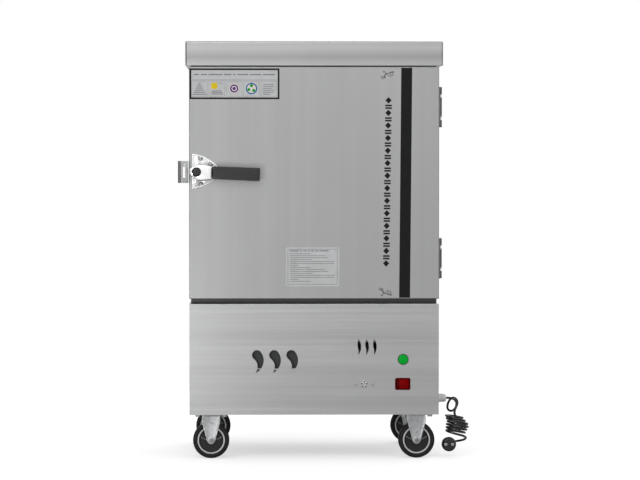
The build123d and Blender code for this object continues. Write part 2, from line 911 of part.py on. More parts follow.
def upright_box(left, low, width, height):
    """The four corners of an upright rectangle."""
    return [(left, low), (left + width, low), (left + width, low + height), (left, low + height)]


# Stickers: a label at the top left, one low in the middle and a leaning black stripe
label_low = door_top - label_margin - label_height
stripe_low = door_low + stripe_margin
stripe_high = door_top - stripe_margin
stripe_corners = [
    (stripe_bottom_x - stripe_width / 2, stripe_low),
    (stripe_bottom_x + stripe_width / 2, stripe_low),
    (stripe_top_x + stripe_width / 2, stripe_high),
    (stripe_top_x - stripe_width / 2, stripe_high),
]
pieces["door_stickers"] = group(
    sticker(upright_box(-door_half + label_margin, label_low, label_width, label_height)),
    sticker(
        upright_box(
            lower_label_shift - lower_label_width / 2,
            door_low + lower_label_rise - lower_label_height / 2,
            lower_label_width,
            lower_label_height,
        )
    ),
    sticker(stripe_corners),
)


def screw(plane, grip):
    """A pan-head screw: its head stands on the plane and its shank runs back into it."""
    with BuildPart() as body:
        rod(plane, screw_head_radius, screw_head)
        fillet(body.faces().sort_by(Axis(plane.origin, plane.z_dir))[-1].edges(), screw_head * 0.6)
        rod(plane.offset(-grip), screw_radius, grip)
    return body.part


# Hinges: knuckles on one pin, the outer two on the cabinet and the middle one on the door
hinge_middles = [door_low + hinge_end_distance, door_top - hinge_end_distance]
middle_knuckle = hinge_length - 2 * hinge_knuckle - 2 * hinge_bush
frame_leaf_back = wall_start + hinge_leaf_width
frame_leaves = []
door_leaves = []
hinge_pins = []
frame_hinge_screws = []
door_hinge_screws = []
pin_hole = hinge_pin_radius + running_clearance
for middle in hinge_middles:
    low = middle - hinge_length / 2
    high = middle + hinge_length / 2
    outer_knuckles = ((low, low + hinge_knuckle), (high - hinge_knuckle, high))
    centre_knuckle = (middle - middle_knuckle / 2, middle + middle_knuckle / 2)
    leaf_screw_z = (middle - hinge_length / 4, middle + hinge_length / 4)
    frame_screw_y = (wall_start + frame_leaf_back) / 2
    door_screw_y = front_y + door_thickness / 2
    with BuildPart() as frame_leaf:
        slab((upper_half, upper_half + hinge_leaf), (wall_start, frame_leaf_back), (low, high))
        for knuckle in outer_knuckles:
            slab((upper_half, hinge_x), (hinge_y + hinge_radius / 2, wall_start + hinge_leaf), knuckle)
            with BuildSketch(Plane.XY.offset(knuckle[0])):
                with Locations((hinge_x, hinge_y)):
                    Circle(hinge_radius)
            extrude(amount=hinge_knuckle)
        with BuildSketch(Plane.XY.offset(low)):
            with Locations((hinge_x, hinge_y)):
                Circle(pin_hole)
        extrude(amount=hinge_length, mode=Mode.SUBTRACT)
        for z in leaf_screw_z:
            rod(
                facing_right(upper_half, frame_screw_y, z),
                screw_radius + running_clearance,
                hinge_leaf,
                Mode.SUBTRACT,
            )
    frame_leaves.append(frame_leaf.part)
    with BuildPart() as door_leaf:
        leaf_x = (door_half, door_half + hinge_leaf)
        leaf_edge = hinge_y - hinge_radius - hinge_leaf
        slab(leaf_x, (front_y + hinge_leaf, leaf_edge), (low, high))
        slab(leaf_x, (leaf_edge, hinge_y), centre_knuckle)
        with BuildSketch(Plane.XY.offset(centre_knuckle[0])):
            with Locations((hinge_x, hinge_y)):
                Circle(hinge_radius)
        extrude(amount=middle_knuckle)
        with BuildSketch(Plane.XY.offset(centre_knuckle[0])):
            with Locations((hinge_x, hinge_y)):
                Circle(pin_hole)
        extrude(amount=middle_knuckle, mode=Mode.SUBTRACT)
        for z in leaf_screw_z:
            rod(
                facing_right(door_half, door_screw_y, z),
                screw_radius + running_clearance,
                hinge_leaf,
                Mode.SUBTRACT,
            )
    door_leaves.append(door_leaf.part)
    with BuildPart() as pin:
        with BuildSketch(Plane.XY.offset(low)):
            with Locations((hinge_x, hinge_y)):
                Circle(hinge_pin_radius)
        extrude(amount=hinge_length)
        with BuildSketch(Plane.XY.offset(high)):
            with Locations((hinge_x, hinge_y)):
                Circle(hinge_bush_radius)
        extrude(amount=hinge_leaf / 2)
    hinge_pins.append(pin.part)
    for bush_low in (low + hinge_knuckle, high - hinge_knuckle - hinge_bush):
        with BuildPart() as bush:
            with BuildSketch(Plane.XY.offset(bush_low + moving_clearance)):
                with Locations((hinge_x, hinge_y)):
                    Circle(hinge_bush_radius)
                    Circle(pin_hole, mode=Mode.SUBTRACT)
            extrude(amount=hinge_bush - 2 * moving_clearance)
        hinge_pins.append(bush.part)
    for z in leaf_screw_z:
        frame_side = facing_right(upper_half + hinge_leaf, frame_screw_y, z)
        door_side = facing_right(door_half + hinge_leaf, door_screw_y, z)
        frame_hinge_screws.append(screw(frame_side, hinge_leaf))
        door_hinge_screws.append(screw(door_side, hinge_leaf))
pieces["hinge_frame_leaves"] = group(*frame_leaves)
pieces["hinge_door_leaves"] = group(*door_leaves)
pieces["hinge_pins"] = group(*hinge_pins)

# Latch plate: a round casting cut straight along the door's edge, with the lever's stud
plate_screws = [
    (pivot_x + 0.22 * latch_plate_radius, pivot_z + 0.75 * latch_plate_radius),
    (pivot_x + 0.24 * latch_plate_radius, pivot_z - 0.69 * latch_plate_radius),
    (pivot_x + 0.77 * latch_plate_radius, pivot_z + 0.44 * latch_plate_radius),
]
lever_back = plate_face - latch_lever_gap
lever_front = lever_back - latch_lever_depth
with BuildPart() as latch_plate:
    with BuildSketch(facing_front(pivot_x, front_y, pivot_z)):
        Circle(latch_plate_radius)
        with Locations((-latch_plate_cut - latch_plate_radius, 0)):
            Rectangle(2 * latch_plate_radius, 2 * latch_plate_radius, mode=Mode.SUBTRACT)
    extrude(amount=latch_plate_sheet)
    chamfer(latch_plate.faces().sort_by(Axis.Y)[0].edges(), latch_plate_sheet / 2)
    stud_length = latch_lever_gap + latch_lever_depth - 2
    rod(facing_front(pivot_x, plate_face, pivot_z), latch_stud_radius, stud_length)
    for x, z in plate_screws:
        rod(
            facing_back(x, plate_face, z),
            screw_radius + running_clearance,
            latch_plate_sheet,
            Mode.SUBTRACT,
        )
pieces["latch_plate"] = latch_plate.part
plate_screw_parts = [screw(facing_front(x, plate_face, z), latch_plate_sheet) for x, z in plate_screws]
pieces["door_screws"] = group(*plate_screw_parts, *door_hinge_screws)

# Latch lever: a cast body that turns on the stud, with a short nose towards the keeper
lever_low = pivot_z - latch_lever_height / 2
lever_end = pivot_x + latch_lever_reach
grip_back = front_y - grip_standoff
grip_front = grip_back - grip_thickness
with BuildPart() as latch_lever:
    with BuildSketch(Plane.XY.offset(lever_low)):
        with BuildLine():
            Polyline(
                (pivot_x - latch_lever_back, lever_back),
                (pivot_x + latch_lever_reach / 2, lever_back),
                (lever_end, grip_back - grip_thickness * 0.1),
                (lever_end, grip_front + grip_thickness * 0.1),
                (pivot_x + latch_lever_reach / 2, lever_front),
                (pivot_x - latch_lever_back, lever_front),
                close=True,
            )
        make_face()
    extrude(amount=latch_lever_height)
    with BuildSketch(facing_front(pivot_x, front_y, pivot_z)):
        with BuildLine():
            Polyline(
                (latch_lever_reach, latch_lever_height * 0.36),
                (latch_lever_reach, -latch_lever_height * 0.36),
                (0, -latch_lever_height / 2),
                (-latch_lever_back, -latch_lever_height * 0.3),
                (-latch_lever_back, latch_lever_height * 0.3),
                (0, latch_lever_height / 2),
                close=True,
            )
        make_face()
    extrude(amount=grip_standoff + grip_thickness, mode=Mode.INTERSECT)
    fillet(latch_lever.edges().filter_by(Axis.Y), 3)
    nose_y = (lever_back - latch_lever_depth / 3, lever_back)
    slab(
        (pivot_x - latch_nose_reach, pivot_x),
        nose_y,
        (pivot_z - latch_nose_height / 2, pivot_z + latch_nose_height / 2),
    )
    rod(
        facing_front(pivot_x, plate_face - moving_clearance, pivot_z),
        latch_cap_radius - 2,
        latch_lever_gap,
    )
    rod(
        facing_front(pivot_x, plate_face - moving_clearance, pivot_z),
        latch_stud_radius + running_clearance,
        latch_lever_gap + latch_lever_depth,
        Mode.SUBTRACT,
    )
with BuildPart() as latch_grip:
    slab((lever_end, lever_end + grip_length), (grip_front, grip_back), both(grip_height / 2))
    fillet(latch_grip.edges().filter_by(Axis.X), 5)
    fillet(latch_grip.faces().sort_by(Axis.X)[-1].edges(), 3)
with BuildPart() as latch_cap:
    rod(facing_front(pivot_x, lever_front, pivot_z), latch_cap_radius, latch_cap_height)
    fillet(latch_cap.faces().sort_by(Axis.Y)[0].edges(), latch_cap_height * 0.6)
droop_axis = Axis((pivot_x, 0, pivot_z), (0, 1, 0))
raised_grip = latch_grip.part.moved(Location((0, 0, pivot_z)))
pieces["latch_lever"] = latch_lever.part.rotate(droop_axis, latch_droop)
pieces["latch_grip"] = raised_grip.rotate(droop_axis, latch_droop)
pieces["latch_cap"] = latch_cap.part.rotate(droop_axis, latch_droop)

# Latch keeper: a bent strip from the cabinet's left side to a lip beside the door
keeper_z = (pivot_z - keeper_height / 2, pivot_z + keeper_height / 2)
keeper_side = -door_half - keeper_door_gap
keeper_front = plate_face - latch_lever_gap - latch_lever_depth / 2
keeper_back = wall_start + hinge_leaf
with BuildPart() as latch_keeper:
    slab(
        (-upper_half - keeper_sheet, -upper_half),
        (wall_start, wall_start + keeper_plate_length),
        keeper_z,
    )
    slab((keeper_side - keeper_sheet, -upper_half), (wall_start, keeper_back), keeper_z)
    slab((keeper_side - keeper_sheet, keeper_side), (keeper_front, keeper_back), keeper_z)
    slab(
        (keeper_side - keeper_width, keeper_side),
        (keeper_front, keeper_front + keeper_sheet),
        keeper_z,
    )
    slab(
        (keeper_side - keeper_width, keeper_side - keeper_width + keeper_sheet),
        (keeper_front, keeper_front + keeper_width),
        keeper_z,
    )
    slot_x = keeper_side - keeper_width * 0.45
    with BuildSketch(facing_front(slot_x, keeper_front + keeper_sheet, pivot_z)):
        SlotOverall(keeper_height * 0.5, keeper_width * 0.2, rotation=90)
    extrude(amount=keeper_sheet, mode=Mode.SUBTRACT)
    keeper_screw_y = wall_start + keeper_plate_length * 0.6
    keeper_screw_z = (pivot_z - keeper_height / 3, pivot_z + keeper_height / 3)
    for z in keeper_screw_z:
        rod(
            facing_right(-upper_half - keeper_sheet, keeper_screw_y, z),
            screw_radius + running_clearance,
            keeper_sheet,
            Mode.SUBTRACT,
        )
pieces["latch_keeper"] = latch_keeper.part
facing_left = Plane((-upper_half - keeper_sheet, keeper_screw_y, 0), x_dir=(0, -1, 0), z_dir=(-1, 0, 0))
keeper_screws = [
    screw(facing_left.shift_origin((-upper_half - keeper_sheet, keeper_screw_y, z)), keeper_sheet)
    for z in keeper_screw_z
]

# Casters: a bolted plate with two tapering cheeks, and a wheel on an axle bolt
plate_low = base_low - caster_plate


def caster_fork(x, y):
    """The plate and cheeks of one fixed caster, round its wheel's place."""
    with BuildPart() as fork:
        with BuildSketch(Plane.XY.offset(plate_low)):
            with Locations((x, y)):
                RectangleRounded(caster_plate_width, caster_plate_depth, caster_plate_corner)
                with GridLocations(caster_bolt_x, caster_bolt_y, 2, 2):
                    Circle(bolt_radius + hole_clearance, mode=Mode.SUBTRACT)
        extrude(amount=caster_plate)
        for cheek_y in (y - fork_outer, y + fork_inner):
            with BuildSketch(facing_back(x, cheek_y, 0)):
                with Locations((0, -plate_low + fork_knee / 2)):
                    Rectangle(fork_width, fork_knee)
                with Locations((0, -wheel_radius)):
                    Circle(fork_tip_radius)
                make_hull()
                with Locations((0, -wheel_radius)):
                    Circle(axle_radius + running_clearance, mode=Mode.SUBTRACT)
            extrude(amount=fork_sheet)
    return fork.part


def hexagon_nut(plane, radius, height, hole):
    """A hexagon nut that stands on a plane."""
    with BuildPart() as nut:
        with BuildSketch(plane):
            RegularPolygon(radius, 6)
            Circle(hole, mode=Mode.SUBTRACT)
        extrude(amount=height)
    return nut.part


def hexagon_bolt(plane, radius, height, shank, length):
    """A hexagon bolt: its head stands on the plane and its shank runs back through it."""
    with BuildPart() as bolt:
        with BuildSketch(plane):
            RegularPolygon(radius, 6)
        extrude(amount=height)
        rod(plane.offset(-length), shank, length)
    return bolt.part


def caster_fixings(x, y):
    """The axle bolt and its nut, and four bolts and nuts for the plate."""
    axle_length = 2 * fork_outer + axle_head
    fixings = [
        hexagon_bolt(
            facing_front(x, y - fork_outer, wheel_radius),
            axle_head_radius,
            axle_head,
            axle_radius,
            axle_length,
        ),
        hexagon_nut(
            facing_back(x, y + fork_outer, wheel_radius),
            axle_head_radius + 2,
            axle_head,
            axle_radius + running_clearance,
        ),
    ]
    grip = caster_plate + base_floor_sheet
    for bolt_x in (x - caster_bolt_x / 2, x + caster_bolt_x / 2):
        for bolt_y in (y - caster_bolt_y / 2, y + caster_bolt_y / 2):
            under = Plane((bolt_x, bolt_y, plate_low), z_dir=(0, 0, -1))
            above = Plane((bolt_x, bolt_y, base_low + base_floor_sheet))
            fixings.append(hexagon_bolt(under, bolt_head_radius, bolt_head, bolt_radius, grip + bolt_head))
            fixings.append(
                hexagon_nut(above, bolt_head_radius, bolt_head, bolt_radius + running_clearance)
            )
    return fixings


def caster_tyre(x, y):
    """A rubber tyre with rounded shoulders."""
    with BuildPart() as tyre:
        rod(facing_back(x, y - wheel_width / 2, wheel_radius), wheel_radius, wheel_width)
        fillet(tyre.edges().filter_by(GeomType.CIRCLE), tyre_round)
        rod(
            facing_back(x, y - wheel_width / 2, wheel_radius),
            core_radius + running_clearance,
            wheel_width,
            Mode.SUBTRACT,
        )
    return tyre.part


def caster_core(x, y):
    """A moulded wheel centre: rim, dished web with ribs, and a bored hub."""
    with BuildPart() as core:
        rod(facing_back(x, y - core_width / 2, wheel_radius), core_radius, core_width)
        for face_y, plane in (
            (y - core_width / 2, facing_back(x, y - core_width / 2, wheel_radius)),
            (y + core_width / 2, facing_front(x, y + core_width / 2, wheel_radius)),
        ):
            rod(plane, core_recess_radius, core_recess, Mode.SUBTRACT)
            with BuildSketch(plane.offset(core_recess / 3)):
                with PolarLocations(core_recess_radius / 2, core_web_ribs):
                    Rectangle(core_recess_radius + 2, core_rib)
                Circle(hub_radius, mode=Mode.SUBTRACT)
            extrude(amount=core_recess)
        hub_half = fork_inner - moving_clearance
        rod(facing_back(x, y - hub_half, wheel_radius), hub_radius, 2 * hub_half)
        rod(
            facing_back(x, y - hub_half, wheel_radius),
            axle_radius + running_clearance,
            2 * hub_half,
            Mode.SUBTRACT,
        )
    return core.part


corner_names = ("front_left", "front_right", "back_left", "back_right")
forks = []
caster_bolts = []
for corner, (x, y) in zip(corner_names, caster_places):
    forks.append(caster_fork(x, y))
    caster_bolts.extend(caster_fixings(x, y))
    pieces[f"tyre_{corner}"] = caster_tyre(x, y)
    pieces[f"wheel_core_{corner}"] = caster_core(x, y)
pieces["caster_forks"] = group(*forks)

# Fasteners of the fixed cabinet
buzzer_screws = [
    screw(
        facing_front(buzzer_x + side * buzzer_screw_distance, front_y, buzzer_z),
        sheet + frame_sheet,
    )
    for side in (-1, 1)
]
pieces["cabinet_fasteners"] = group(*caster_bolts, *keeper_screws, *frame_hinge_screws, *buzzer_screws)

# Drain: a pipe from the tank's floor through the back panel to a lever valve
valve_front = back_y + drain_valve_gap
valve_top = drain_z + drain_valve_radius
with BuildPart() as drain_pipe:
    with BuildLine() as drain_route:
        FilletPolyline(
            (drain_x, drain_y, tank_low),
            (drain_x, drain_y, drain_z),
            (drain_x, back_y + drain_stub, drain_z),
            radius=drain_bend,
        )
    with BuildSketch(Plane((drain_x, drain_y, tank_low), z_dir=(0, 0, -1))):
        Circle(drain_radius)
        Circle(drain_bore, mode=Mode.SUBTRACT)
    sweep(path=drain_route.wire())
    with BuildSketch(facing_back(drain_x, valve_front, drain_z)):
        Circle(drain_valve_radius)
        Circle(drain_bore, mode=Mode.SUBTRACT)
    extrude(amount=drain_valve_length)
    stem_y = valve_front + drain_valve_length / 2
    stem_base = Plane((drain_x, stem_y, drain_z + drain_bore + 2))
    shoulder = drain_valve_radius - drain_bore - 2 + drain_stem_height / 2
    rod(stem_base, 2 * drain_stem_radius, shoulder)
    rod(stem_base.offset(shoulder), drain_stem_radius, drain_stem_height / 2)
pieces["drain_pipe"] = drain_pipe.part
lever_seat = valve_top + drain_stem_height / 2 + moving_clearance
with BuildPart() as drain_lever:
    with BuildSketch(Plane.XY.offset(lever_seat)):
        with Locations((drain_x, stem_y)):
            Circle(drain_lever_width * 0.7)
        with Locations((drain_x - drain_lever_length / 2, stem_y)):
            SlotOverall(drain_lever_length, drain_lever_width)
        with Locations((drain_x, stem_y)):
            Circle(drain_stem_radius + running_clearance, mode=Mode.SUBTRACT)
    extrude(amount=drain_lever_sheet)
pieces["drain_lever"] = drain_lever.part

# Water feed box on the back, with its inlet and a pipe into the tank
feed_low = base_low + feed_box_low
feed_x = (feed_box_x - feed_box_width / 2, feed_box_x + feed_box_width / 2)
feed_z = (feed_low, feed_low + feed_box_height)
with BuildPart() as feed_box:
    slab(feed_x, (back_y, back_y + feed_box_depth), feed_z)
    slab(
        (feed_x[0] + feed_box_sheet, feed_x[1] - feed_box_sheet),
        (back_y, back_y + feed_box_depth - feed_box_sheet),
        (feed_z[0] + feed_box_sheet, feed_z[1] - feed_box_sheet),
        mode=Mode.SUBTRACT,
    )
    inlet_plane = facing_right(
        feed_x[1] - feed_box_sheet, back_y + feed_box_depth / 2, feed_z[1] - 2 * feed_inlet_radius
    )
    rod(inlet_plane, feed_inlet_radius, feed_inlet_length + feed_box_sheet)
    rod(
        inlet_plane,
        feed_inlet_radius - feed_inlet_wall,
        feed_inlet_length + feed_box_sheet,
        Mode.SUBTRACT,
    )
with BuildPart() as feed_pipe:
    feed_start = facing_back(feed_box_x, tank_back, feed_pipe_z)
    feed_length = back_y - tank_back + feed_box_depth / 3
    rod(feed_start, feed_pipe_radius, feed_length)
    rod(feed_start, feed_pipe_radius - tank_sheet, feed_length, Mode.SUBTRACT)
pieces["water_feed_box"] = group(feed_box.part, feed_pipe.part)

# Steam vent: a flanged pipe from the chamber's back wall to the outside
with BuildPart() as steam_vent:
    vent_length = back_y + vent_stub - inner_back
    rod(facing_back(vent_x, inner_back, vent_z), vent_radius, vent_length)
    rod(facing_back(vent_x, back_y, vent_z), vent_flange_radius, vent_flange)
    rod(facing_back(vent_x, inner_back, vent_z), vent_bore, vent_length, Mode.SUBTRACT)
pieces["steam_vent"] = steam_vent.part

# Cord gland on the right side
gland_tip = base_half + gland_length
with BuildPart() as cable_gland:
    with BuildSketch(facing_right(base_half, gland_y, gland_z)):
        RegularPolygon(gland_radius, 6)
    extrude(amount=gland_collar)
    rod(facing_right(base_half, gland_y, gland_z), gland_radius * 0.94, gland_length)
    fillet(cable_gland.faces().sort_by(Axis.X)[-1].edges(), gland_radius * 0.94 - gland_tip_radius)
    rod(facing_right(base_half - gland_tail, gland_y, gland_z), gland_tail_radius, gland_tail)
pieces["cable_gland"] = cable_gland.part


def coil_point(turn):
    """The winding's centreline after a number of turns, with its turns tilted and uneven."""
    swell = math.sin(math.pi * turn / coil_turns)
    ripple = coil_ripple * math.sin(4.1 * turn)
    radius = coil_radius + coil_belly * swell + ripple
    angle = math.radians(coil_start_angle + 360 * turn)
    slope = math.tan(math.radians(coil_tilt))
    return Vector(
        coil_x + coil_sway * swell + radius * math.cos(angle),
        gland_y + radius * math.sin(angle),
        coil_top_z - coil_pitch * turn - slope * radius * math.cos(angle),
    )


def coil_heading(turn):
    """The direction of the winding's centreline after a number of turns."""
    step = 0.001
    return (coil_point(turn + step) - coil_point(turn - step)).normalized()


def tube(path):
    """A round tube of cord that follows a path."""
    with BuildPart() as cord:
        with BuildLine():
            add(path)
        with BuildSketch(Plane(path @ 0, z_dir=path % 0)):
            Circle(cord_radius)
        sweep(path=path)
    return cord.part


def cord_run(points):
    """A free stretch of cord: straight runs joined by arcs as large as the runs allow."""
    radii = []
    for before, corner, after in zip(points, points[1:], points[2:]):
        first = Vector(*corner) - Vector(*before)
        second = Vector(*after) - Vector(*corner)
        half_turn = math.radians(first.get_angle(second)) / 2
        radii.append(0.45 * min(first.length, second.length) / math.tan(half_turn))
    with BuildLine() as route:
        FilletPolyline(*points, radius=radii)
    wire = route.wire()
    print("cord radii", [round(radius, 1) for radius in radii], "length", round(wire.length, 1))
    return wire


coil_start = coil_point(0) - coil_heading(0) * cord_diameter
coil_end = coil_point(coil_turns) + coil_heading(coil_turns) * cord_diameter

# Winding: six uneven turns, each quarter turn made of two tangent arcs
with BuildLine() as coil_route:
    Line(coil_start, coil_point(0))
    for quarter in range(4 * coil_turns):
        begin = coil_point(quarter / 4)
        end = coil_point((quarter + 1) / 4)
        heading = coil_heading(quarter / 4)
        leaving = coil_heading((quarter + 1) / 4)
        chord = end - begin
        total = heading + leaving
        spread = 2 * (1 - heading.dot(leaving))
        reach = (
            -chord.dot(total) + math.sqrt(chord.dot(total) ** 2 + spread * chord.dot(chord))
        ) / spread
        near = begin + heading * reach
        far = end - leaving * reach
        joint = (near + far) * 0.5
        TangentArc(begin, joint, tangent=heading)
        TangentArc(joint, end, tangent=(far - near).normalized())
    Line(coil_point(coil_turns), coil_end)
coil_line = coil_route.wire()
pieces["cord_coil"] = tube(coil_line)

# Lead: out of the gland, round a small loop and down into the winding
lead_points = [
    (gland_tip, gland_y, gland_z),
    (gland_tip + 11.5, gland_y, gland_z),
    (393, -185, 157),
    (398, -187, 144),
    (393, -189, 131),
    (382, -191, 124),
    (371.5, -193, 130),
    (371, -196, 143),
    (376, -199, 156),
    (387, -202, 165.5),
    (397.5, -205, 158),
    (398.5, -208, 145),
    (391, -212, 132),
    (389, -213.5, 121.5),
    tuple(coil_start - coil_heading(0) * 9),
    tuple(coil_start),
]
lead_line = cord_run(lead_points)
pieces["cord_lead"] = tube(lead_line)

# Tail: from the winding's foot, down and round to the back of the plug
tail_points = [
    tuple(coil_end),
    tuple(coil_end + coil_heading(coil_turns) * 8),
    (424.5, -186, 51),
    (421, -173, 44.5),
    (410, -162, 40.5),
    (397, -152, 37.5),
    (384, -146, 35.5),
    (plug_x, plug_rear_y + 11, plug_z),
    (plug_x, plug_rear_y, plug_z),
]
tail_line = cord_run(tail_points)
pieces["cord_tail"] = tube(tail_line)


def spaced_points(line, count):
    """Evenly spaced points along a line."""
    return [line @ (step / count) for step in range(count + 1)]


coil_samples = spaced_points(coil_line, 900)
apart = int(900 * 3 * cord_diameter / coil_line.length)
least_gap = min(
    (coil_samples[a] - coil_samples[b]).length - cord_diameter
    for a in range(len(coil_samples))
    for b in range(a + apart, len(coil_samples))
)
print("winding length", round(coil_line.length, 1), "least gap to itself", round(least_gap, 2))
for name, line in (("cord_coil", coil_line), ("cord_lead", lead_line), ("cord_tail", tail_line)):
    ratio = pieces[name].volume / (math.pi * cord_radius**2 * line.length)
    print(name, "volume against section times length", round(ratio, 4))

# Round plug: its cord comes in from behind and its pins point to the front
plug_back = plug_rear_y - plug_relief
plug_face = plug_back - plug_length
with BuildPart() as mains_plug:
    with BuildSketch(facing_front(plug_x, plug_rear_y, plug_z)):
        Circle(plug_relief_radius)
    with BuildSketch(facing_front(plug_x, plug_back, plug_z)):
        Circle(plug_neck_radius)
    loft()
    rod(facing_front(plug_x, plug_back, plug_z), plug_radius, plug_length)
    chamfer(
        mains_plug.edges().filter_by(GeomType.CIRCLE).group_by(Axis.Y)[-2].sort_by(SortBy.RADIUS)[-1],
        plug_radius * 0.3,
    )
    for side in (-1, 1):
        rod(
            facing_front(plug_x + side * plug_pin_spacing / 2, plug_face, plug_z),
            plug_pin_radius,
            plug_pin_length,
        )
pieces["mains_plug"] = mains_plug.part

# The middle of the cart between the keeper and the cap, and between the grip and the drain
keeper_left = keeper_side - keeper_width
middle_x = (keeper_left + cap_width / 2) / 2
middle_y = (grip_front + back_y + drain_stub) / 2
print("middle of the cart", middle_x, middle_y)

for name, piece in pieces.items():
    placed = piece.moved(Location((-middle_x, -middle_y, 0)))
    placed.label = name
    export_step(placed, f"parts/{name}.step")
print(len(pieces), "nodes")
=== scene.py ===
import math

import bmesh
import bpy
from bpy.props import FloatProperty, FloatVectorProperty, IntProperty, PointerProperty
from bpy.types import Operator, Panel, PropertyGroup
from mathutils import Matrix, Vector


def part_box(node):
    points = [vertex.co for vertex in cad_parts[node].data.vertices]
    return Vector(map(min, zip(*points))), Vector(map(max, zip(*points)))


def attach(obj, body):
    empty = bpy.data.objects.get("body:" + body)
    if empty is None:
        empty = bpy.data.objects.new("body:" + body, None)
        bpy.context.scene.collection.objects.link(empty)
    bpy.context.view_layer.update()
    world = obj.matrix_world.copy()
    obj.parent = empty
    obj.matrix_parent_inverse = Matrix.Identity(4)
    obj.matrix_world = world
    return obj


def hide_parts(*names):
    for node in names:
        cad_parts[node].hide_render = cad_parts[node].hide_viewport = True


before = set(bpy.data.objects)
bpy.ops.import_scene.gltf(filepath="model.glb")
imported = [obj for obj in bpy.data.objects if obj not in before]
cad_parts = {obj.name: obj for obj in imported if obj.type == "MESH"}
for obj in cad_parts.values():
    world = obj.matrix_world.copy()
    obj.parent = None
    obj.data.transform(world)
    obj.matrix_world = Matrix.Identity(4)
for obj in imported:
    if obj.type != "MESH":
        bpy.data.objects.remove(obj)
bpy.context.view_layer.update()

bl_info = {
    "name": "Steam cart finish",
    "version": (1, 0, 0),
    "blender": (4, 5, 0),
    "location": "View3D > Sidebar > Steam cart",
    "description": "Dresses a rice steaming cart: steel, latch, labels, switch, casters and mains cord",
    "category": "Object",
}

# Places are given in millimetres from the floor below the middle of the base
mm = 0.001
base_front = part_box("base_front_panel")
base_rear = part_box("base_back_panel")
middle = Vector(((base_front[0].x + base_front[1].x) / 2, (base_front[0].y + base_rear[1].y) / 2, 0))
door_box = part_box("door_outer_skin")
door_low = door_box[0].z / mm
door_top = door_box[1].z / mm
door_half = (door_box[1].x - door_box[0].x) / 2 / mm
front = (door_box[0].y - middle.y) / mm
base_low = base_front[0].z / mm
base_top = base_front[1].z / mm
base_half = (base_front[1].x - base_front[0].x) / 2 / mm

right = Vector((1, 0, 0))
forward = Vector((0, -1, 0))
backward = Vector((0, 1, 0))
up = Vector((0, 0, 1))


def at(x, y, z):
    """A point from its millimetres round the middle of the base."""
    return middle + Vector((x, y, z)) * mm


# Sizes and colours that a user would change

def a_length(name, description, default):
    return FloatProperty(name=name, description=description, default=default, unit="LENGTH")


def a_power(name, description, default):
    return FloatProperty(name=name, description=description, default=default, unit="POWER")


def a_colour(name, description, default):
    return FloatVectorProperty(name=name, description=description, default=default, subtype="COLOR")


class StageSettings(PropertyGroup):
    camera_side: a_length("Camera side", "Camera place to the right of the cart's middle", -0.170)
    camera_distance: a_length("Camera distance", "From the camera to the door's face", 7.8)
    camera_height: a_length("Camera height", "Camera height above the floor", 0.80)
    lens: FloatProperty(
        name="Lens", description="Focal length on a 36 mm sensor", default=160.5, unit="CAMERA")
    ambient: FloatProperty(
        name="Ambient", description="Strength of the even light from all sides", default=0.5, min=0)
    key_power: a_power("Key light", "Power of the large light at the front left", 46)
    fill_power: a_power("Fill light", "Power of the large light at the front right", 28)
    upper_power: a_power("Upper light", "Power of the smaller light above the front", 11)
    rear_power: a_power("Rear light", "Power of the light behind the cart", 40)
    glow_power: a_power("Glow", "Power of the small low light that brightens the left side", 14)


class SteelSettings(PropertyGroup):
    door_colour: a_colour("Door steel", "Colour of the door's sheet", (0.325, 0.326, 0.328))
    panel_colour: a_colour("Panel steel", "Colour of the cabinet's sheets", (0.338, 0.339, 0.341))
    chamber_colour: a_colour("Chamber steel", "Colour of the chamber and the trays", (0.50, 0.50, 0.51))
    bright_colour: a_colour("Bright casting", "Colour of the polished latch", (0.84, 0.84, 0.845))
    zinc_colour: a_colour("Zinc plating", "Colour of the plated steel parts", (0.38, 0.385, 0.39))
    roughness: FloatProperty(
        name="Sheet roughness", description="Roughness of the brushed sheets", default=0.36, min=0, max=1)


class PlasticSettings(PropertyGroup):
    black: a_colour("Black plastic", "Colour of the grip, cap and wheel centres", (0.019, 0.019, 0.020))
    tyre: a_colour("Tyre", "Colour of the tyres", (0.012, 0.012, 0.013))
    pale: a_colour("Pale plastic", "Colour of the cord gland and the wheel rings", (0.72, 0.72, 0.71))
    red: a_colour("Switch red", "Colour of the rocker switch", (0.165, 0.0005, 0.001))
    green: a_colour("Lamp green", "Colour of the lamp's lens", (0.0, 0.29, 0.022))
    cord: a_colour("Cord black", "Colour of the mains cord", (0.007, 0.007, 0.008))


class CordSettings(PropertyGroup):
    diameter: a_length("Cord diameter", "Outer diameter of the mains cord", 0.0065)
    length: a_length("Cord length", "Length from the gland to the plug", 1.30)
    turns: IntProperty(name="Turns", description="Turns of the winding", default=6, min=1)
    points_per_turn: IntProperty(
        name="Points per turn", description="Route points in one turn of the winding", default=16, min=12)


class LatchSettings(PropertyGroup):
    plate_radius: a_length("Plate radius", "Radius of the latch plate's two curved edges", 0.095)
    plate_height: a_length("Plate height", "Height of the latch plate", 0.0955)
    plate_cut: a_length("Plate cut", "From the pivot to the plate's straight edge", 0.0120)
    rim_width: a_length("Rim width", "Width of the plate's raised rim", 0.0036)
    droop: FloatProperty(
        name="Droop", description="Angle that the lever hangs at", default=math.radians(2.4), subtype="ANGLE")


class LabelSettings(PropertyGroup):
    film: a_length("Film", "Thickness of the sticker's lowest layer", 0.00010)
    print_step: a_length("Print step", "Thickness of one printed layer", 0.00004)
    border: a_length("Border", "Width of the black border of the top label", 0.0048)
    pale_ink: a_colour("Label face", "Colour of the labels' ground", (0.46, 0.465, 0.47))
    grey_ink: a_colour("Grey print", "Colour of the labels' rules and bars", (0.20, 0.20, 0.21))
    black_ink: a_colour("Black print", "Colour of borders, stripe and marks", (0.006, 0.006, 0.007))


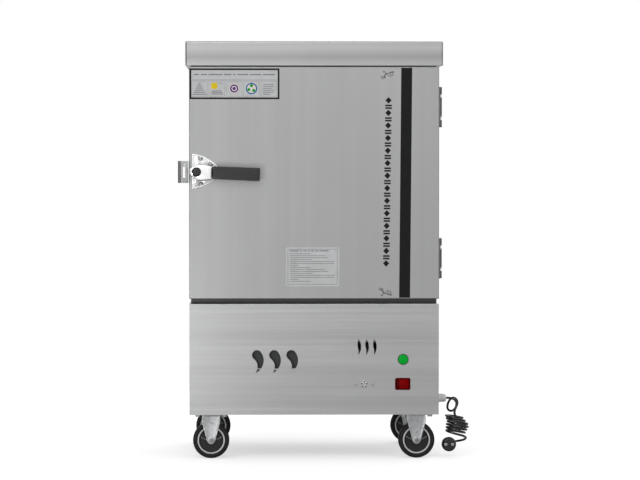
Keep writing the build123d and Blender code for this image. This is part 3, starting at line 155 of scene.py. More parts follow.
class CasterSettings(PropertyGroup):
    ring_inner: a_length("Ring inside", "Inner radius of the pale ring", 0.0336)
    ring_outer: a_length("Ring outside", "Outer radius of the pale ring", 0.0378)
    rib_reach: a_length("Rib reach", "From the axle to the outer end of a curved rib", 0.0285)
    bolt_radius: a_length("Bolt radius", "Radius of the axle bolt's recess", 0.0054)


# Selecting and shaping meshes

def deselect_all():
    bpy.ops.object.select_all(action="DESELECT")


def only(piece):
    """Selects one piece and makes it the active one."""
    deselect_all()
    piece.select_set(True)
    bpy.context.view_layer.objects.active = piece


def open_mesh(piece, kind="FACE", chosen="DESELECT"):
    """Opens a piece in edit mode with nothing or everything selected."""
    only(piece)
    bpy.ops.object.mode_set(mode="EDIT")
    bpy.ops.mesh.select_mode(type=kind)
    bpy.ops.mesh.select_all(action=chosen)


def close_mesh():
    bpy.ops.object.mode_set(mode="OBJECT")


def seal():
    """Turns the open mesh's faces outwards and closes it."""
    bpy.ops.mesh.select_all(action="SELECT")
    bpy.ops.mesh.normals_make_consistent(inside=False)
    close_mesh()


def draw_out(move):
    """Extrudes what is selected along a vector."""
    bpy.ops.mesh.extrude_region_move(TRANSFORM_OT_translate={"value": move})


def pick_faces(test):
    """In edit mode, selects the faces whose normal passes a test."""
    data = bpy.context.edit_object.data
    mesh = bmesh.from_edit_mesh(data)
    for face in mesh.faces:
        face.select_set(test(face.normal))
    bmesh.update_edit_mesh(data)


def named(name):
    """Names the new piece and puts its place into its mesh."""
    bpy.ops.object.transform_apply(location=True, rotation=True, scale=True)
    piece = bpy.context.active_object
    piece.name = name
    piece.data.name = name
    return piece


def block(name, low, high):
    """A rectangular piece between two corners, to be shaped further."""
    deselect_all()
    bpy.ops.mesh.primitive_cube_add(size=1, location=(low + high) / 2, scale=high - low)
    return named(name)


def outline_piece(name, places, fill):
    """A closed outline through some places, filled or as a bare wire, left open in edit mode."""
    deselect_all()
    bpy.ops.mesh.primitive_circle_add(vertices=len(places), fill_type=fill)
    piece = named(name)
    open_mesh(piece, "VERT")
    mesh = bmesh.from_edit_mesh(piece.data)
    for vertex, place in zip(mesh.verts, places):
        vertex.co = place
    bmesh.update_edit_mesh(piece.data)
    bpy.ops.mesh.select_all(action="SELECT")
    return piece


def drawn(name, places, depth):
    """A flat outline drawn out along a vector into a solid."""
    piece = outline_piece(name, places, "NGON")
    draw_out(depth)
    seal()
    return piece


def turned(name, start, axis, profile, sides=48):
    """A turned solid: a disc drawn out along an axis through steps of distance and radius, in mm."""
    deselect_all()
    distance, radius = profile[0]
    bpy.ops.mesh.primitive_circle_add(
        vertices=sides,
        radius=radius * mm,
        fill_type="NGON",
        location=start + axis * distance * mm,
        rotation=axis.to_track_quat("Z", "Y").to_euler(),
    )
    piece = named(name)
    open_mesh(piece, chosen="SELECT")
    for (near, small), (far, wide) in zip(profile, profile[1:]):
        draw_out(axis * (far - near) * mm)
        scale = wide / small
        bpy.ops.transform.resize(value=(scale, scale, scale), center_override=start + axis * far * mm)
    seal()
    return piece


def spun(name, start, axis, profile, steps=64):
    """A closed profile of distance and radius, in mm, spun about a level axis."""
    places = [start + axis * distance * mm + up * radius * mm for distance, radius in profile]
    piece = outline_piece(name, places, "NOTHING")
    bpy.ops.mesh.spin(steps=steps, angle=2 * math.pi, center=start, axis=axis)
    bpy.ops.mesh.select_all(action="SELECT")
    bpy.ops.mesh.remove_doubles(threshold=0.00001)
    seal()
    return piece


def soften(piece, width, segments=2, angle=30):
    """Rounds the edges that turn by more than an angle, by a width in mm."""
    only(piece)
    bevel = piece.modifiers.new("edges", "BEVEL")
    bevel.width = width * mm
    bevel.segments = segments
    bevel.limit_method = "ANGLE"
    bevel.angle_limit = math.radians(angle)
    bpy.ops.object.modifier_apply(modifier=bevel.name)
    return piece


def round_corners(piece, axis, radius):
    """Rounds a piece's outermost corner edges, those that run along an axis, by a radius in mm."""
    open_mesh(piece, "EDGE")
    mesh = bmesh.from_edit_mesh(piece.data)
    ends = []
    for side in range(3):
        if abs(axis[side]) < 0.5:
            across = [vertex.co[side] for vertex in mesh.verts]
            ends.append((side, min(across), max(across)))
    for edge in mesh.edges:
        place = edge.verts[0].co
        run = (edge.verts[1].co - place).normalized()
        outer = all(min(place[side] - low, high - place[side]) < 0.3 * mm for side, low, high in ends)
        edge.select_set(outer and abs(run.dot(axis)) > 0.9)
    bmesh.update_edit_mesh(piece.data)
    bpy.ops.mesh.bevel(offset=radius * mm, segments=5, affect="EDGES")
    close_mesh()
    return piece


def cut(piece, cutter):
    """Takes the cutter's shape out of a piece."""
    only(piece)
    boolean = piece.modifiers.new("cut", "BOOLEAN")
    boolean.operation = "DIFFERENCE"
    boolean.solver = "EXACT"
    boolean.object = cutter
    bpy.ops.object.modifier_apply(modifier=boolean.name)
    bpy.data.objects.remove(cutter, do_unlink=True)
    return piece


def joined(name, pieces):
    """Joins pieces into one and names it."""
    deselect_all()
    for piece in pieces:
        piece.select_set(True)
    bpy.context.view_layer.objects.active = pieces[0]
    bpy.ops.object.join()
    pieces[0].name = name
    pieces[0].data.name = name
    return pieces[0]


def added(name, data):
    """A new piece with a mesh or a curve, in the scene."""
    piece = bpy.data.objects.new(name, data)
    bpy.context.scene.collection.objects.link(piece)
    return piece


def copied(piece, name, move):
    """A copy of a piece with a mesh of its own, moved by a vector."""
    data = piece.data.copy()
    data.transform(Matrix.Translation(move))
    return added(name, data)


def smooth_bar(name, places, radius, rounding, fineness):
    """A round bar of a radius that runs smoothly along some places."""
    curve = bpy.data.curves.new(name, "CURVE")
    curve.dimensions = "3D"
    curve.bevel_depth = radius
    curve.bevel_resolution = rounding
    curve.resolution_u = fineness
    spline = curve.splines.new("NURBS")
    spline.points.add(len(places) - 1)
    for point, place in zip(spline.points, places):
        point.co = (*place, 1.0)
    spline.order_u = 3
    spline.use_endpoint_u = True
    return added(name, curve)


def softened(node, name, width, corner=0):
    """A copy of a CAD piece with its edges rounded, and its front corners too, to stand for it."""
    piece = added(name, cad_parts[node].data.copy())
    open_mesh(piece, chosen="SELECT")
    bpy.ops.mesh.remove_doubles(threshold=0.000002)
    bpy.ops.mesh.dissolve_limited(angle_limit=math.radians(1))
    close_mesh()
    if corner:
        low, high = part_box(node)
        slack = Vector((0.02, 2, 0.02)) * mm
        kept = round_corners(block("kept", low - slack, high + slack), forward, corner)
        margin = Vector((5, 1, 5)) * mm
        piece = cut(piece, cut(block("trim", low - margin, high + margin), kept))
    return soften(piece, width)


def finish(name):
    """One of the finishes that this script makes, apart from the CAD file's own plain materials."""
    return bpy.data.materials[f"finish_{name}"]


def paint(piece, material):
    piece.data.materials.clear()
    piece.data.materials.append(finish(material))
    return piece


def settle(piece, body, slot, *nodes, angle=32):
    """Shades a finished piece, and says what it moves with and the CAD nodes it stands for; its slot is not
    used.
    """
    only(piece)
    bpy.ops.object.shade_smooth_by_angle(angle=math.radians(angle))
    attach(piece, body)
    if nodes:
        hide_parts(*nodes)
    return piece


# Building materials from nodes

def add_node(tree, kind, inputs=None, **settings):
    """Adds a node with its settings. Each input is a value or another node's socket."""
    made = tree.nodes.new(kind)
    for name, value in settings.items():
        setattr(made, name, value)
    for key, value in (inputs or {}).items():
        if isinstance(value, bpy.types.NodeSocket):
            tree.links.new(value, made.inputs[key])
        else:
            made.inputs[key].default_value = value
    return made


def worked(tree, operation, first, second):
    """The result of an operation on two numbers."""
    return add_node(tree, "ShaderNodeMath", {0: first, 1: second}, operation=operation).outputs[0]


def scaled(tree, vector, factor):
    """A place or a colour times a factor."""
    inputs = {0: vector, "Scale": factor}
    return add_node(tree, "ShaderNodeVectorMath", inputs, operation="SCALE").outputs[0]


def part_of(tree, vector, axis):
    """One of the three numbers of a place or a direction."""
    return add_node(tree, "ShaderNodeSeparateXYZ", {0: vector}).outputs[axis]


def mix_value(tree, factor, low, high):
    """A number between two, by a factor."""
    return add_node(tree, "ShaderNodeMix", {0: factor, 2: low, 3: high}, data_type="FLOAT").outputs[0]


def mix_colour(tree, factor, low, high):
    """A colour between two, by a factor."""
    return add_node(tree, "ShaderNodeMix", {0: factor, 6: low, 7: high}, data_type="RGBA").outputs[2]


def noise(tree, place, scale, detail=2.0, roughness=0.5):
    inputs = {"Vector": place, "Scale": scale, "Detail": detail, "Roughness": roughness}
    return add_node(tree, "ShaderNodeTexNoise", inputs).outputs[0]


def stepped(tree, value, low, high):
    """A value stretched so that low becomes 0 and high becomes 1."""
    inputs = {"Value": value, "From Min": low, "From Max": high}
    return add_node(tree, "ShaderNodeMapRange", inputs).outputs[0]


def start_group(name, given, made):
    """A shader node group that reads a place and named inputs, and puts out named numbers."""
    tree = bpy.data.node_groups.new(name, "ShaderNodeTree")
    tree.interface.new_socket(name="Vector", in_out="INPUT", socket_type="NodeSocketVector")
    for key, default in given.items():
        kind = "NodeSocketVector" if isinstance(default, tuple) else "NodeSocketFloat"
        socket = tree.interface.new_socket(name=key, in_out="INPUT", socket_type=kind)
        socket.default_value = default
    for key in made:
        tree.interface.new_socket(name=key, in_out="OUTPUT", socket_type="NodeSocketFloat")
    enter = tree.nodes.new("NodeGroupInput")
    leave = tree.nodes.new("NodeGroupOutput")
    return tree, enter.outputs, leave.inputs


def make_brushed_grain():
    """Streaks that run along one axis of a sheet: fine scratches over broad bands."""
    inputs = {"Grain": (500.0, 500.0, 6.0), "Broad share": 0.5}
    tree, given, made = start_group("Brushed grain", inputs, ["Streaks", "Height"])
    stretch = {0: given["Vector"], 1: given["Grain"]}
    place = add_node(tree, "ShaderNodeVectorMath", stretch, operation="MULTIPLY").outputs[0]
    fine = noise(tree, place, 1.0, 3.0, 0.65)
    ripple = noise(tree, scaled(tree, place, 0.32), 1.0, 2.0, 0.6)
    broad = noise(tree, scaled(tree, place, 0.09), 1.0, 3.0, 0.6)
    streaks = mix_value(tree, given["Broad share"], mix_value(tree, 0.5, fine, ripple), broad)
    tree.links.new(stepped(tree, streaks, 0.34, 0.66), made["Streaks"])
    tree.links.new(mix_value(tree, 0.7, fine, ripple), made["Height"])


def make_soft_patches():
    """Large soft clouds, for wiped and handled surfaces."""
    tree, given, made = start_group("Soft patches", {"Scale": 4.0}, ["Patches"])
    clouds = noise(tree, given["Vector"], given["Scale"], 3.0, 0.5)
    tree.links.new(stepped(tree, clouds, 0.32, 0.68), made["Patches"])


def make_moulded_skin():
    """The fine pebbled skin of moulded plastic and rubber."""
    tree, given, made = start_group("Moulded skin", {"Scale": 900.0}, ["Pebbles", "Tone"])
    pebbles = noise(tree, given["Vector"], given["Scale"], 1.0, 0.4)
    tone = noise(tree, given["Vector"], worked(tree, "MULTIPLY", given["Scale"], 0.06), 2.0, 0.5)
    tree.links.new(pebbles, made["Pebbles"])
    tree.links.new(stepped(tree, tone, 0.3, 0.7), made["Tone"])


def make_settled_dust():
    """Dust that lies where a surface faces up, in uneven patches."""
    tree, given, made = start_group("Settled dust", {"Amount": 0.3}, ["Dust"])
    normal = add_node(tree, "ShaderNodeNewGeometry").outputs["Normal"]
    lying = stepped(tree, part_of(tree, normal, 2), 0.1, 1.0)
    clouds = stepped(tree, noise(tree, given["Vector"], 30.0, 3.0, 0.6), 0.3, 0.7)
    dusty = worked(tree, "MULTIPLY", lying, clouds)
    tree.links.new(worked(tree, "MULTIPLY", dusty, given["Amount"]), made["Dust"])


def add_group(tree, name, inputs):
    return add_node(tree, "ShaderNodeGroup", inputs, node_tree=bpy.data.node_groups[name]).outputs


def bare_material(name):
    material = bpy.data.materials.new(name)
    material.use_nodes = True
    material.node_tree.nodes.clear()
    return material


def start_material(name, inputs):
    """A material with one Principled shader, whose constant inputs are set on its sockets."""
    tree = bare_material(f"finish_{name}").node_tree
    shader = add_node(tree, "ShaderNodeBsdfPrincipled", inputs)
    add_node(tree, "ShaderNodeOutputMaterial", {"Surface": shader.outputs[0]})
    return tree, shader, add_node(tree, "ShaderNodeTexCoord").outputs["Object"]


def shade(colour, share):
    """A colour with its brightness changed by a share."""
    return tuple(min(1.0, value * share) for value in colour[:3]) + (1.0,)


def varied(tree, mask, colour, low, high):
    """A colour that a mask takes from one share of its brightness to another."""
    return mix_colour(tree, mask, shade(colour, low), shade(colour, high))


def coat(tree, shader, tone, mask=None, low=0.0, high=0.0):
    """Feeds the shader its colour, and a roughness that a mask takes from low to high."""
    tree.links.new(tone, shader.inputs["Base Color"])
    if mask is not None:
        tree.links.new(mix_value(tree, mask, low, high), shader.inputs["Roughness"])


def raise_surface(tree, shader, height, depth, strength=0.6):
    """Feeds a height in mm to the shader's normal."""
    inputs = {"Height": height, "Distance": depth * mm, "Strength": strength}
    tree.links.new(add_node(tree, "ShaderNodeBump", inputs).outputs[0], shader.inputs["Normal"])


def brushed_steel(name, colour, roughness, grain, contrast, broad, relief=0.02):
    """Brushed sheet: streaks along the grain, soft wiped patches and a fine scratched relief."""
    tree, shader, place = start_material(name, {"Metallic": 1.0})
    streaks = add_group(tree, "Brushed grain", {"Vector": place, "Grain": grain, "Broad share": broad})
    clouds = add_group(tree, "Soft patches", {"Vector": place, "Scale": 2.5})
    tone = varied(tree, streaks["Streaks"], colour, 1 - contrast, 1 + contrast)
    tone = scaled(tree, tone, mix_value(tree, clouds["Patches"], 0.97, 1.03))
    spread = 1.8 * contrast
    coat(tree, shader, tone, streaks["Streaks"], roughness * (1 - spread), roughness * (1 + spread))
    raise_surface(tree, shader, streaks["Height"], relief)
    return tree, shader, place, tone


def frame_steel_painted_shade(colour, roughness):
    """The front frame's steel, with painted shade that makes it dark in the open gap below the door."""
    tree, shader, place, tone = brushed_steel("frame_steel_painted_shade", colour, roughness, sideways_grain, 0.06, 0.6)
    # Painted shade: below the door's foot the frame's tone falls to about a fifth.
    outside_painted_shade = stepped(tree, part_of(tree, place, 2), (door_low + 1) * mm, (door_low + 6) * mm)
    coat(tree, shader, mix_colour(tree, outside_painted_shade, scaled(tree, tone, 0.18), tone))


def cap_steel_painted_shade(colour, roughness):
    """The cap's steel: a soft darker band along its sides, painted shade that stands in for a dimmer
    reflection there.
    """
    tree, shader, place, tone = brushed_steel("cap_steel_painted_shade", colour, roughness, sideways_grain, 0.06, 0.6, 0.1)
    height = part_of(tree, place, 2)
    # Painted shade: a band a little above the door's top, darkened to four fifths of the tone.
    band, reach = (door_top + 27) * mm, 18 * mm
    rising = stepped(tree, height, band - reach, band)
    falling = stepped(tree, height, band + reach, band)
    inside = worked(tree, "MULTIPLY", rising, falling)
    coat(tree, shader, mix_colour(tree, inside, tone, scaled(tree, tone, 0.80)))


def cast_metal(name, colour, roughness, contrast, scale, relief):
    """Cast or plated metal: soft clouds in colour and gloss, and a slightly uneven surface."""
    tree, shader, place = start_material(name, {"Metallic": 1.0})
    clouds = add_group(tree, "Soft patches", {"Vector": place, "Scale": scale})["Patches"]
    skin = add_group(tree, "Moulded skin", {"Vector": place, "Scale": scale * 6})
    tone = varied(tree, clouds, colour, 1 - contrast, 1 + contrast)
    coat(tree, shader, tone, clouds, roughness * 0.75, roughness * 1.25)
    raise_surface(tree, shader, skin["Tone"], relief)


def moulded(name, colour, roughness, specular=0.3, scale=600.0, relief=0.03, dust=0.0, gloss=0.0):
    """Moulded plastic or rubber: a pebbled skin, uneven gloss and a little dust on top."""
    constants = {"Coat Weight": gloss, "Coat Roughness": 0.08, "Specular IOR Level": specular}
    tree, shader, place = start_material(name, constants)
    skin = add_group(tree, "Moulded skin", {"Vector": place, "Scale": scale})
    tone = varied(tree, skin["Tone"], colour, 0.86, 1.14)
    if dust > 0:
        veil = add_group(tree, "Settled dust", {"Vector": place, "Amount": dust})
        dust_colour = (0.30, 0.29, 0.27, 1.0)
        tone = mix_colour(tree, veil["Dust"], tone, dust_colour)
    coat(tree, shader, tone, skin["Tone"], roughness * 0.85, roughness * 1.15)
    raise_surface(tree, shader, skin["Pebbles"], relief)


def rocker_red(colour):
    """The rocker's clear red: painted shade on the pressed end, and two bright spots of painted glow."""
    tree, shader, place = start_material("rocker_red", {"Roughness": 0.35, "Specular IOR Level": 0.02})
    skin = add_group(tree, "Moulded skin", {"Vector": place, "Scale": 300.0})
    tone = varied(tree, skin["Tone"], colour, 0.85, 1.15)
    rocker = at(base_half - 99.0, front, base_low + 82.2)
    # Painted shade: past the pressed end's edge the red darkens to about a third.
    raised = stepped(tree, part_of(tree, place, 0), rocker.x - 12 * mm, rocker.x - 8 * mm)
    tone = mix_colour(tree, raised, shade(colour, 0.35), tone)
    # Painted glow: two soft spots of brighter red, which give off no light.
    painted_glow_colour = (0.42, 0.0, 0.0, 1.0)
    for side in (-4.5, 11.5):
        ends = {0: place, 1: rocker + right * side * mm}
        away = add_node(tree, "ShaderNodeVectorMath", ends, operation="DISTANCE").outputs["Value"]
        tone = mix_colour(tree, stepped(tree, away, 4.8 * mm, 2 * mm), tone, painted_glow_colour)
    coat(tree, shader, tone)
    raise_surface(tree, shader, skin["Pebbles"], 0.02)


def printed_film(name, colour, roughness=0.42):
    """Ink on plastic film: nearly even, with faint mottling and a wiped gloss."""
    tree, shader, place = start_material(name, {"Specular IOR Level": 0.12})
    clouds = add_group(tree, "Soft patches", {"Vector": place, "Scale": 40.0})["Patches"]
    coat(tree, shader, varied(tree, clouds, colour, 0.95, 1.05), clouds, roughness * 0.85, roughness * 1.15)


def foam_wool(name, colour):
    """Insulation: matt, crumbly and uneven."""
    tree, shader, place = start_material(name, {})
    skin = add_group(tree, "Moulded skin", {"Vector": place, "Scale": 260.0})
    coat(tree, shader, varied(tree, skin["Tone"], colour, 0.75, 1.15), skin["Pebbles"], 0.8, 1.0)
    raise_surface(tree, shader, skin["Pebbles"], 1.2, 1.0)


def lamp_lens(name, colour):
    """A translucent lens that seems to glow a little, brighter in soft patches."""
    constants = {"Coat Weight": 0.05, "Specular IOR Level": 0.06, "Emission Strength": 0.12}
    tree, shader, place = start_material(name, constants)
    clouds = add_group(tree, "Soft patches", {"Vector": place, "Scale": 120.0})["Patches"]
    tone = varied(tree, clouds, colour, 0.92, 1.12)
    coat(tree, shader, tone, clouds, 0.25, 0.35)
    tree.links.new(tone, shader.inputs["Emission Color"])


vertical_grain = (420.0, 420.0, 5.0)
sideways_grain = (3.2, 320.0, 320.0)
lengthwise_grain = (320.0, 3.2, 320.0)


class CART_OT_materials(Operator):
    """Makes the finishes of the cart: steels, castings, plastics, rubbers, inks and pipes"""

    bl_idname = "steam_cart.materials"
    bl_label = "Make the materials"

    def execute(self, context):
        make_brushed_grain()
        make_soft_patches()
        make_moulded_skin()
        make_settled_dust()
        self.steels(context.scene.steam_cart_steel)
        self.plastics(context.scene.steam_cart_plastic)
        self.inks(context.scene.steam_cart_labels)
        return {"FINISHED"}

    def steels(self, steel):
        """Sheets take a roughness, grain, contrast, broad share and relief."""
        rough = steel.roughness
        panel, chamber = steel.panel_colour, steel.chamber_colour
        brushed_steel("door_steel", steel.door_colour, rough * 0.85, vertical_grain, 0.02, 0.7, 0.001)
        brushed_steel("panel_steel", shade(panel, 1.03), rough, sideways_grain, 0.10, 0.5, 0.5)
        brushed_steel("side_steel", panel, rough, lengthwise_grain, 0.06, 0.6, 0.03)
        cap_steel_painted_shade(shade(panel, 1.02), rough)
        brushed_steel("chamber_steel", chamber, 0.30, vertical_grain, 0.08, 0.5)
        brushed_steel("tray_steel", chamber, 0.26, sideways_grain, 0.08, 0.5)
        brushed_steel("rack_steel", chamber, 0.30, lengthwise_grain, 0.08, 0.5)
        frame_steel_painted_shade(panel, rough)
        bright, zinc = steel.bright_colour, steel.zinc_colour
        for name, colour, roughness, contrast, scale, relief in (
            ("bright_casting", bright, 0.20, 0.05, 35.0, 0.05),
            ("plate_casting", shade(bright, 0.70), 0.34, 0.14, 60.0, 0.08),
            ("dull_casting", shade(bright, 0.60), 0.36, 0.26, 60.0, 0.12),
            ("hinge_steel", shade(zinc, 0.30), 0.40, 0.15, 90.0, 0.02),
            # The folds' steel is lighter than their sheets: painted highlight on top of the real one from
            # their curve.
            ("fold_steel_with_painted_highlight", shade(bright, 0.62), 0.45, 0.05, 20.0, 0.01),
            ("bush_steel", shade(bright, 0.95), 0.45, 0.06, 160.0, 0.01),
            ("keeper_steel", shade(zinc, 0.75), 0.38, 0.12, 90.0, 0.02),
            # Near black steel: painted shade for the baffle inside the base.
            ("inner_steel_painted_shade", shade(zinc, 0.13), 0.45, 0.15, 30.0, 0.02),
            ("zinc_plating", zinc, 0.36, 0.12, 110.0, 0.04),
            ("pocket_metal", shade(zinc, 0.50), 0.42, 0.12, 110.0, 0.04),
            ("screw_steel", shade(zinc, 0.95), 0.30, 0.06, 160.0, 0.01),
            ("pipe_brass", (0.58, 0.40, 0.16), 0.28, 0.10, 80.0, 0.02),
            ("cast_iron", (0.045, 0.044, 0.043), 0.62, 0.20, 120.0, 0.35),
        ):
            cast_metal(name, colour, roughness, contrast, scale, relief)

    def plastics(self, plastic):
        """Moulded finishes take a roughness, specular level, skin scale, relief and dust."""
        moulded("black_plastic", plastic.black, 0.42, 0.30, 700.0, 0.05, 0.02)
        moulded("core_plastic", shade(plastic.black, 0.8), 0.45, 0.22, 500.0, 0.04, 0.05)
        moulded("rib_plastic", shade(plastic.black, 6.5), 0.42, 0.35, 500.0, 0.03, 0.05)
        moulded("tyre_rubber", plastic.tyre, 0.60, 0.18, 420.0, 0.06, 0.06)
        moulded("pale_plastic", plastic.pale, 0.46)
        moulded("ring_plastic", shade(plastic.pale, 0.72), 0.46)
        moulded("red_plastic", shade(plastic.red, 0.42), 0.45, 0.02)
        rocker_red(plastic.red)
        moulded("cord_rubber", plastic.cord, 0.20, 0.55, 800.0, 0.02)
        moulded("gasket_rubber", (0.30, 0.30, 0.29), 0.60)
        moulded("red_paint", (0.42, 0.015, 0.012), 0.24, gloss=0.4)
        moulded("grey_paint", (0.32, 0.33, 0.34), 0.40, dust=0.15)
        moulded("dark_rim", shade(plastic.black, 1.2), 0.35, 0.2)
        foam_wool("foam", (0.60, 0.50, 0.26))
        lamp_lens("green_lens", plastic.green)

    def inks(self, labels):
        printed_film("pale_film", labels.pale_ink)
        printed_film("grey_film", labels.grey_ink)
        printed_film("black_film", labels.black_ink, 0.36)
        printed_film("yellow_film", (0.62, 0.46, 0.01))
        printed_film("purple_film", (0.10, 0.03, 0.16))
        printed_film("blue_film", (0.02, 0.11, 0.30))
        printed_film("green_film", (0.015, 0.26, 0.02))
        printed_film("light_film", (0.60, 0.56, 0.52))


node_finishes = {
    "cap_steel_painted_shade": ["top_cap"],
    "door_steel": ["door_outer_skin", "door_inner_skin"],
    "panel_steel": ["base_front_panel", "base_back_panel", "back_panel", "water_feed_box"],
    "frame_steel_painted_shade": ["front_frame"],
    "side_steel": ["left_side_panel", "right_side_panel", "base_left_panel", "base_right_panel"],
    "chamber_steel": ["chamber_liner", "water_tank", "steam_vent", "drain_pipe"],
    "tray_steel": [f"tray_{level}" for level in range(1, 7)],
    "rack_steel": ["tray_racks"],
    "hinge_steel": ["hinge_frame_leaves", "hinge_door_leaves"],
    "bush_steel": ["hinge_pins"],
    "screw_steel": ["cabinet_fasteners"],
    "zinc_plating": ["base_frame"],
    "cast_iron": ["burner"],
    "pipe_brass": ["gas_pipe"],
    "red_paint": ["drain_lever"],
    "grey_paint": ["control_box"],
    "gasket_rubber": ["door_gasket"],
    "foam": ["wall_insulation", "door_insulation"],
    "black_plastic": ["buzzer"],
}


class CART_OT_cad_finishes(Operator):
    """Gives the CAD pieces that stay in view their finishes"""

    bl_idname = "steam_cart.cad_finishes"
    bl_label = "Finish the CAD pieces"

    def execute(self, context):
        for material, names in node_finishes.items():
            for name in names:
                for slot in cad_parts[name].material_slots:
                    slot.link = "OBJECT"
                    slot.material = finish(material)
        return {"FINISHED"}


# Mains cord, by its route's points: the lead and the tail listed, the winding by a formula
gland_y = -183.0
gland_z = 161.5
plug_rear = (375, -165, 34)
lead_route = [
    (368.5, gland_y, gland_z),
    (380, -183, 161.5),
    (393, -185, 157),
    (398, -187, 144),
    (393, -189, 131),
    (382, -191, 124),
    (371.5, -193, 130),
    (371, -196, 143),
    (376, -199, 156),
    (387, -202, 165.5),
    (397.5, -205, 158),
    (398.5, -208, 145),
    (391, -212, 132),
    (389, -213.5, 121.5),
]
tail_route = [
    (424.5, -186, 51),
    (421, -173, 44.5),
    (410, -162, 40.5),
    (397, -152, 37.5),
    (384, -146, 35.5),
    (375, -154, 34),
    plug_rear,
]


winding_x = 390.0
winding_top = 112.0
winding_pitch = 8.2
winding_radius = 23.0
winding_start = -50.0
winding_slope = math.tan(math.radians(12.0))


def winding_point(turn, turns):
    """The winding's centreline after a number of turns, in mm. Its middle turns are the widest."""
    swell = math.sin(math.pi * turn / turns)
    unevenness = 1.1 * math.sin(4.1 * turn)
    radius = winding_radius + 6.0 * swell + unevenness
    angle = math.radians(winding_start + 360.0 * turn)
    across, along = radius * math.cos(angle), radius * math.sin(angle)
    lean = 0.09 * swell
    return Vector((
        winding_x + 10.0 * swell + across,
        gland_y + along,
        winding_top - winding_pitch * turn - winding_slope * across - lean * along,
    ))


def winding_heading(turn, turns):
    step = 0.001
    return (winding_point(turn + step, turns) - winding_point(turn - step, turns)).normalized()


def cord_route(settings):
    """The whole cord's points: lead, a straight piece into the winding, its turns, and the tail."""
    turns = settings.turns
    start, start_heading = winding_point(0, turns), winding_heading(0, turns)
    end, end_heading = winding_point(turns, turns), winding_heading(turns, turns)
    steps = turns * settings.points_per_turn
    route = [Vector(point) for point in lead_route]
    route += [start - start_heading * 15.5, start - start_heading * 6.5]
    route += [winding_point(step / settings.points_per_turn, turns) for step in range(steps + 1)]
    route += [end + end_heading * 6.5, end + end_heading * 14.5]
    return route + [Vector(point) for point in tail_route]


def cord_gland():
    """The pale gland: a hexagon against the side panel and a ribbed dome that holds the cord."""
    centre = at(base_half, gland_y, gland_z)
    turns = [Matrix.Rotation(math.radians(60 * step), 3, right) for step in range(6)]
    collar = drawn("collar", [centre + (turn @ up) * 12.0 * mm for turn in turns], right * 5.0 * mm)
    profile = [(0, 11.8), (12, 11.8), (12.6, 11.2), (13.4, 11.2), (14, 11.8), (19, 11.6), (23, 10.6)]
    profile += [(25.4, 9.2), (26.6, 7.6), (27, 6.0), (27, 3.6)]
    gland = joined("cord_gland", [soften(collar, 0.7), turned("dome", centre, right, profile)])
    return settle(paint(gland, "pale_plastic"), "cabinet", "grey_plastic", "cable_gland")


def cord_plug():
    """The round plug, with its ribbed relief behind and two pins in front."""
    rear = at(*plug_rear)
    rib_pitch, first_radius, growth = 4.6, 5.5, 0.8
    pin_face, pin_side = 47, 9.5
    relief = []
    for rib in range(4):
        place, radius = rib * rib_pitch, first_radius + rib * growth
        relief += [(place, radius), (place + 2.6, radius)]
        relief += [(place + 3.0, radius - 0.6), (place + 4.2, radius - 0.6)]
    shell = [(18.6, 10.2), (20, 13.5), (21.5, 17.2), (24, 19.4), (27, 20.0), (40, 20.0)]
    shell += [(43.5, 19.2), (46.2, 17.2), (47.6, 15.4), (48, 14.2), (47.2, 13.4), (47.2, 3.0)]
    pieces = [paint(turned("plug_body", rear, forward, relief + shell, 56), "cord_rubber")]
    sleeve = [(0, 3.9), (1.2, 3.9), (1.6, 3.4), (1.6, 2.4)]
    pin = [(0, 2.4), (18.4, 2.4), (19.4, 2.0), (20, 1.3), (20, 0.4)]
    for side in (-1, 1):
        foot = rear + forward * pin_face * mm + right * side * pin_side * mm
        pieces.append(paint(turned("sleeve", foot, forward, sleeve, 24), "pale_plastic"))
        pieces.append(paint(turned("pin", foot, forward, pin, 24), "screw_steel"))
    return settle(joined("plug_with_pins", pieces), "cabinet", "cord_rubber", "mains_plug")


class CART_OT_cord(Operator):
    """Lays the mains cord from its gland through its winding to the plug"""

    bl_idname = "steam_cart.cord"
    bl_label = "Lay the mains cord"

    def execute(self, context):
        settings = context.scene.steam_cart_cord
        route = [at(*place) for place in cord_route(settings)]
        cord = smooth_bar("mains_cord", route, settings.diameter / 2, 4, 5)
        cord.data.use_fill_caps = True
        cord.data.materials.append(finish("cord_rubber"))
        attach(cord, "cabinet")
        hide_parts("cord_lead", "cord_coil", "cord_tail")
        cord_gland()
        cord_plug()
        return {"FINISHED"}


# Latch, by the place of its pivot and its screws
pivot_x = -321.5
pivot_z = 788.4
plate_screws = [
    (pivot_x + 11, pivot_z + 37.5),
    (pivot_x + 12, pivot_z - 34.5),
    (pivot_x + 38.5, pivot_z + 22),
]
hinge_screws = [
    at(door_half + 3.0, front + 18, hinge_middle + step)
    for hinge_middle in (door_low + 110, door_top - 110)
    for step in (-27.5, 27.5)
]


def plate_outline(settings, inset, depth):
    """The latch plate's outline, drawn in by an inset, at a depth before the door, in mm."""
    radius = settings.plate_radius / mm - inset
    sink = settings.plate_radius / mm - settings.plate_height / mm / 2
    centre_x = pivot_x - 16.6
    middle_z = pivot_z + 1.8
    end_half_height = 7
    start = math.asin((pivot_x - settings.plate_cut / mm + inset - centre_x) / radius)
    end = math.acos((sink + end_half_height) / radius)
    count = 22
    upper, lower = [], []
    for step in range(count + 1):
        angle = start + (end - start) * step / count
        x = centre_x + radius * math.sin(angle)
        half_height = radius * math.cos(angle) - sink
        upper.append(at(x, front - depth, middle_z + half_height))
        lower.append(at(x, front - depth, middle_z - half_height))
    return upper + lower[::-1]


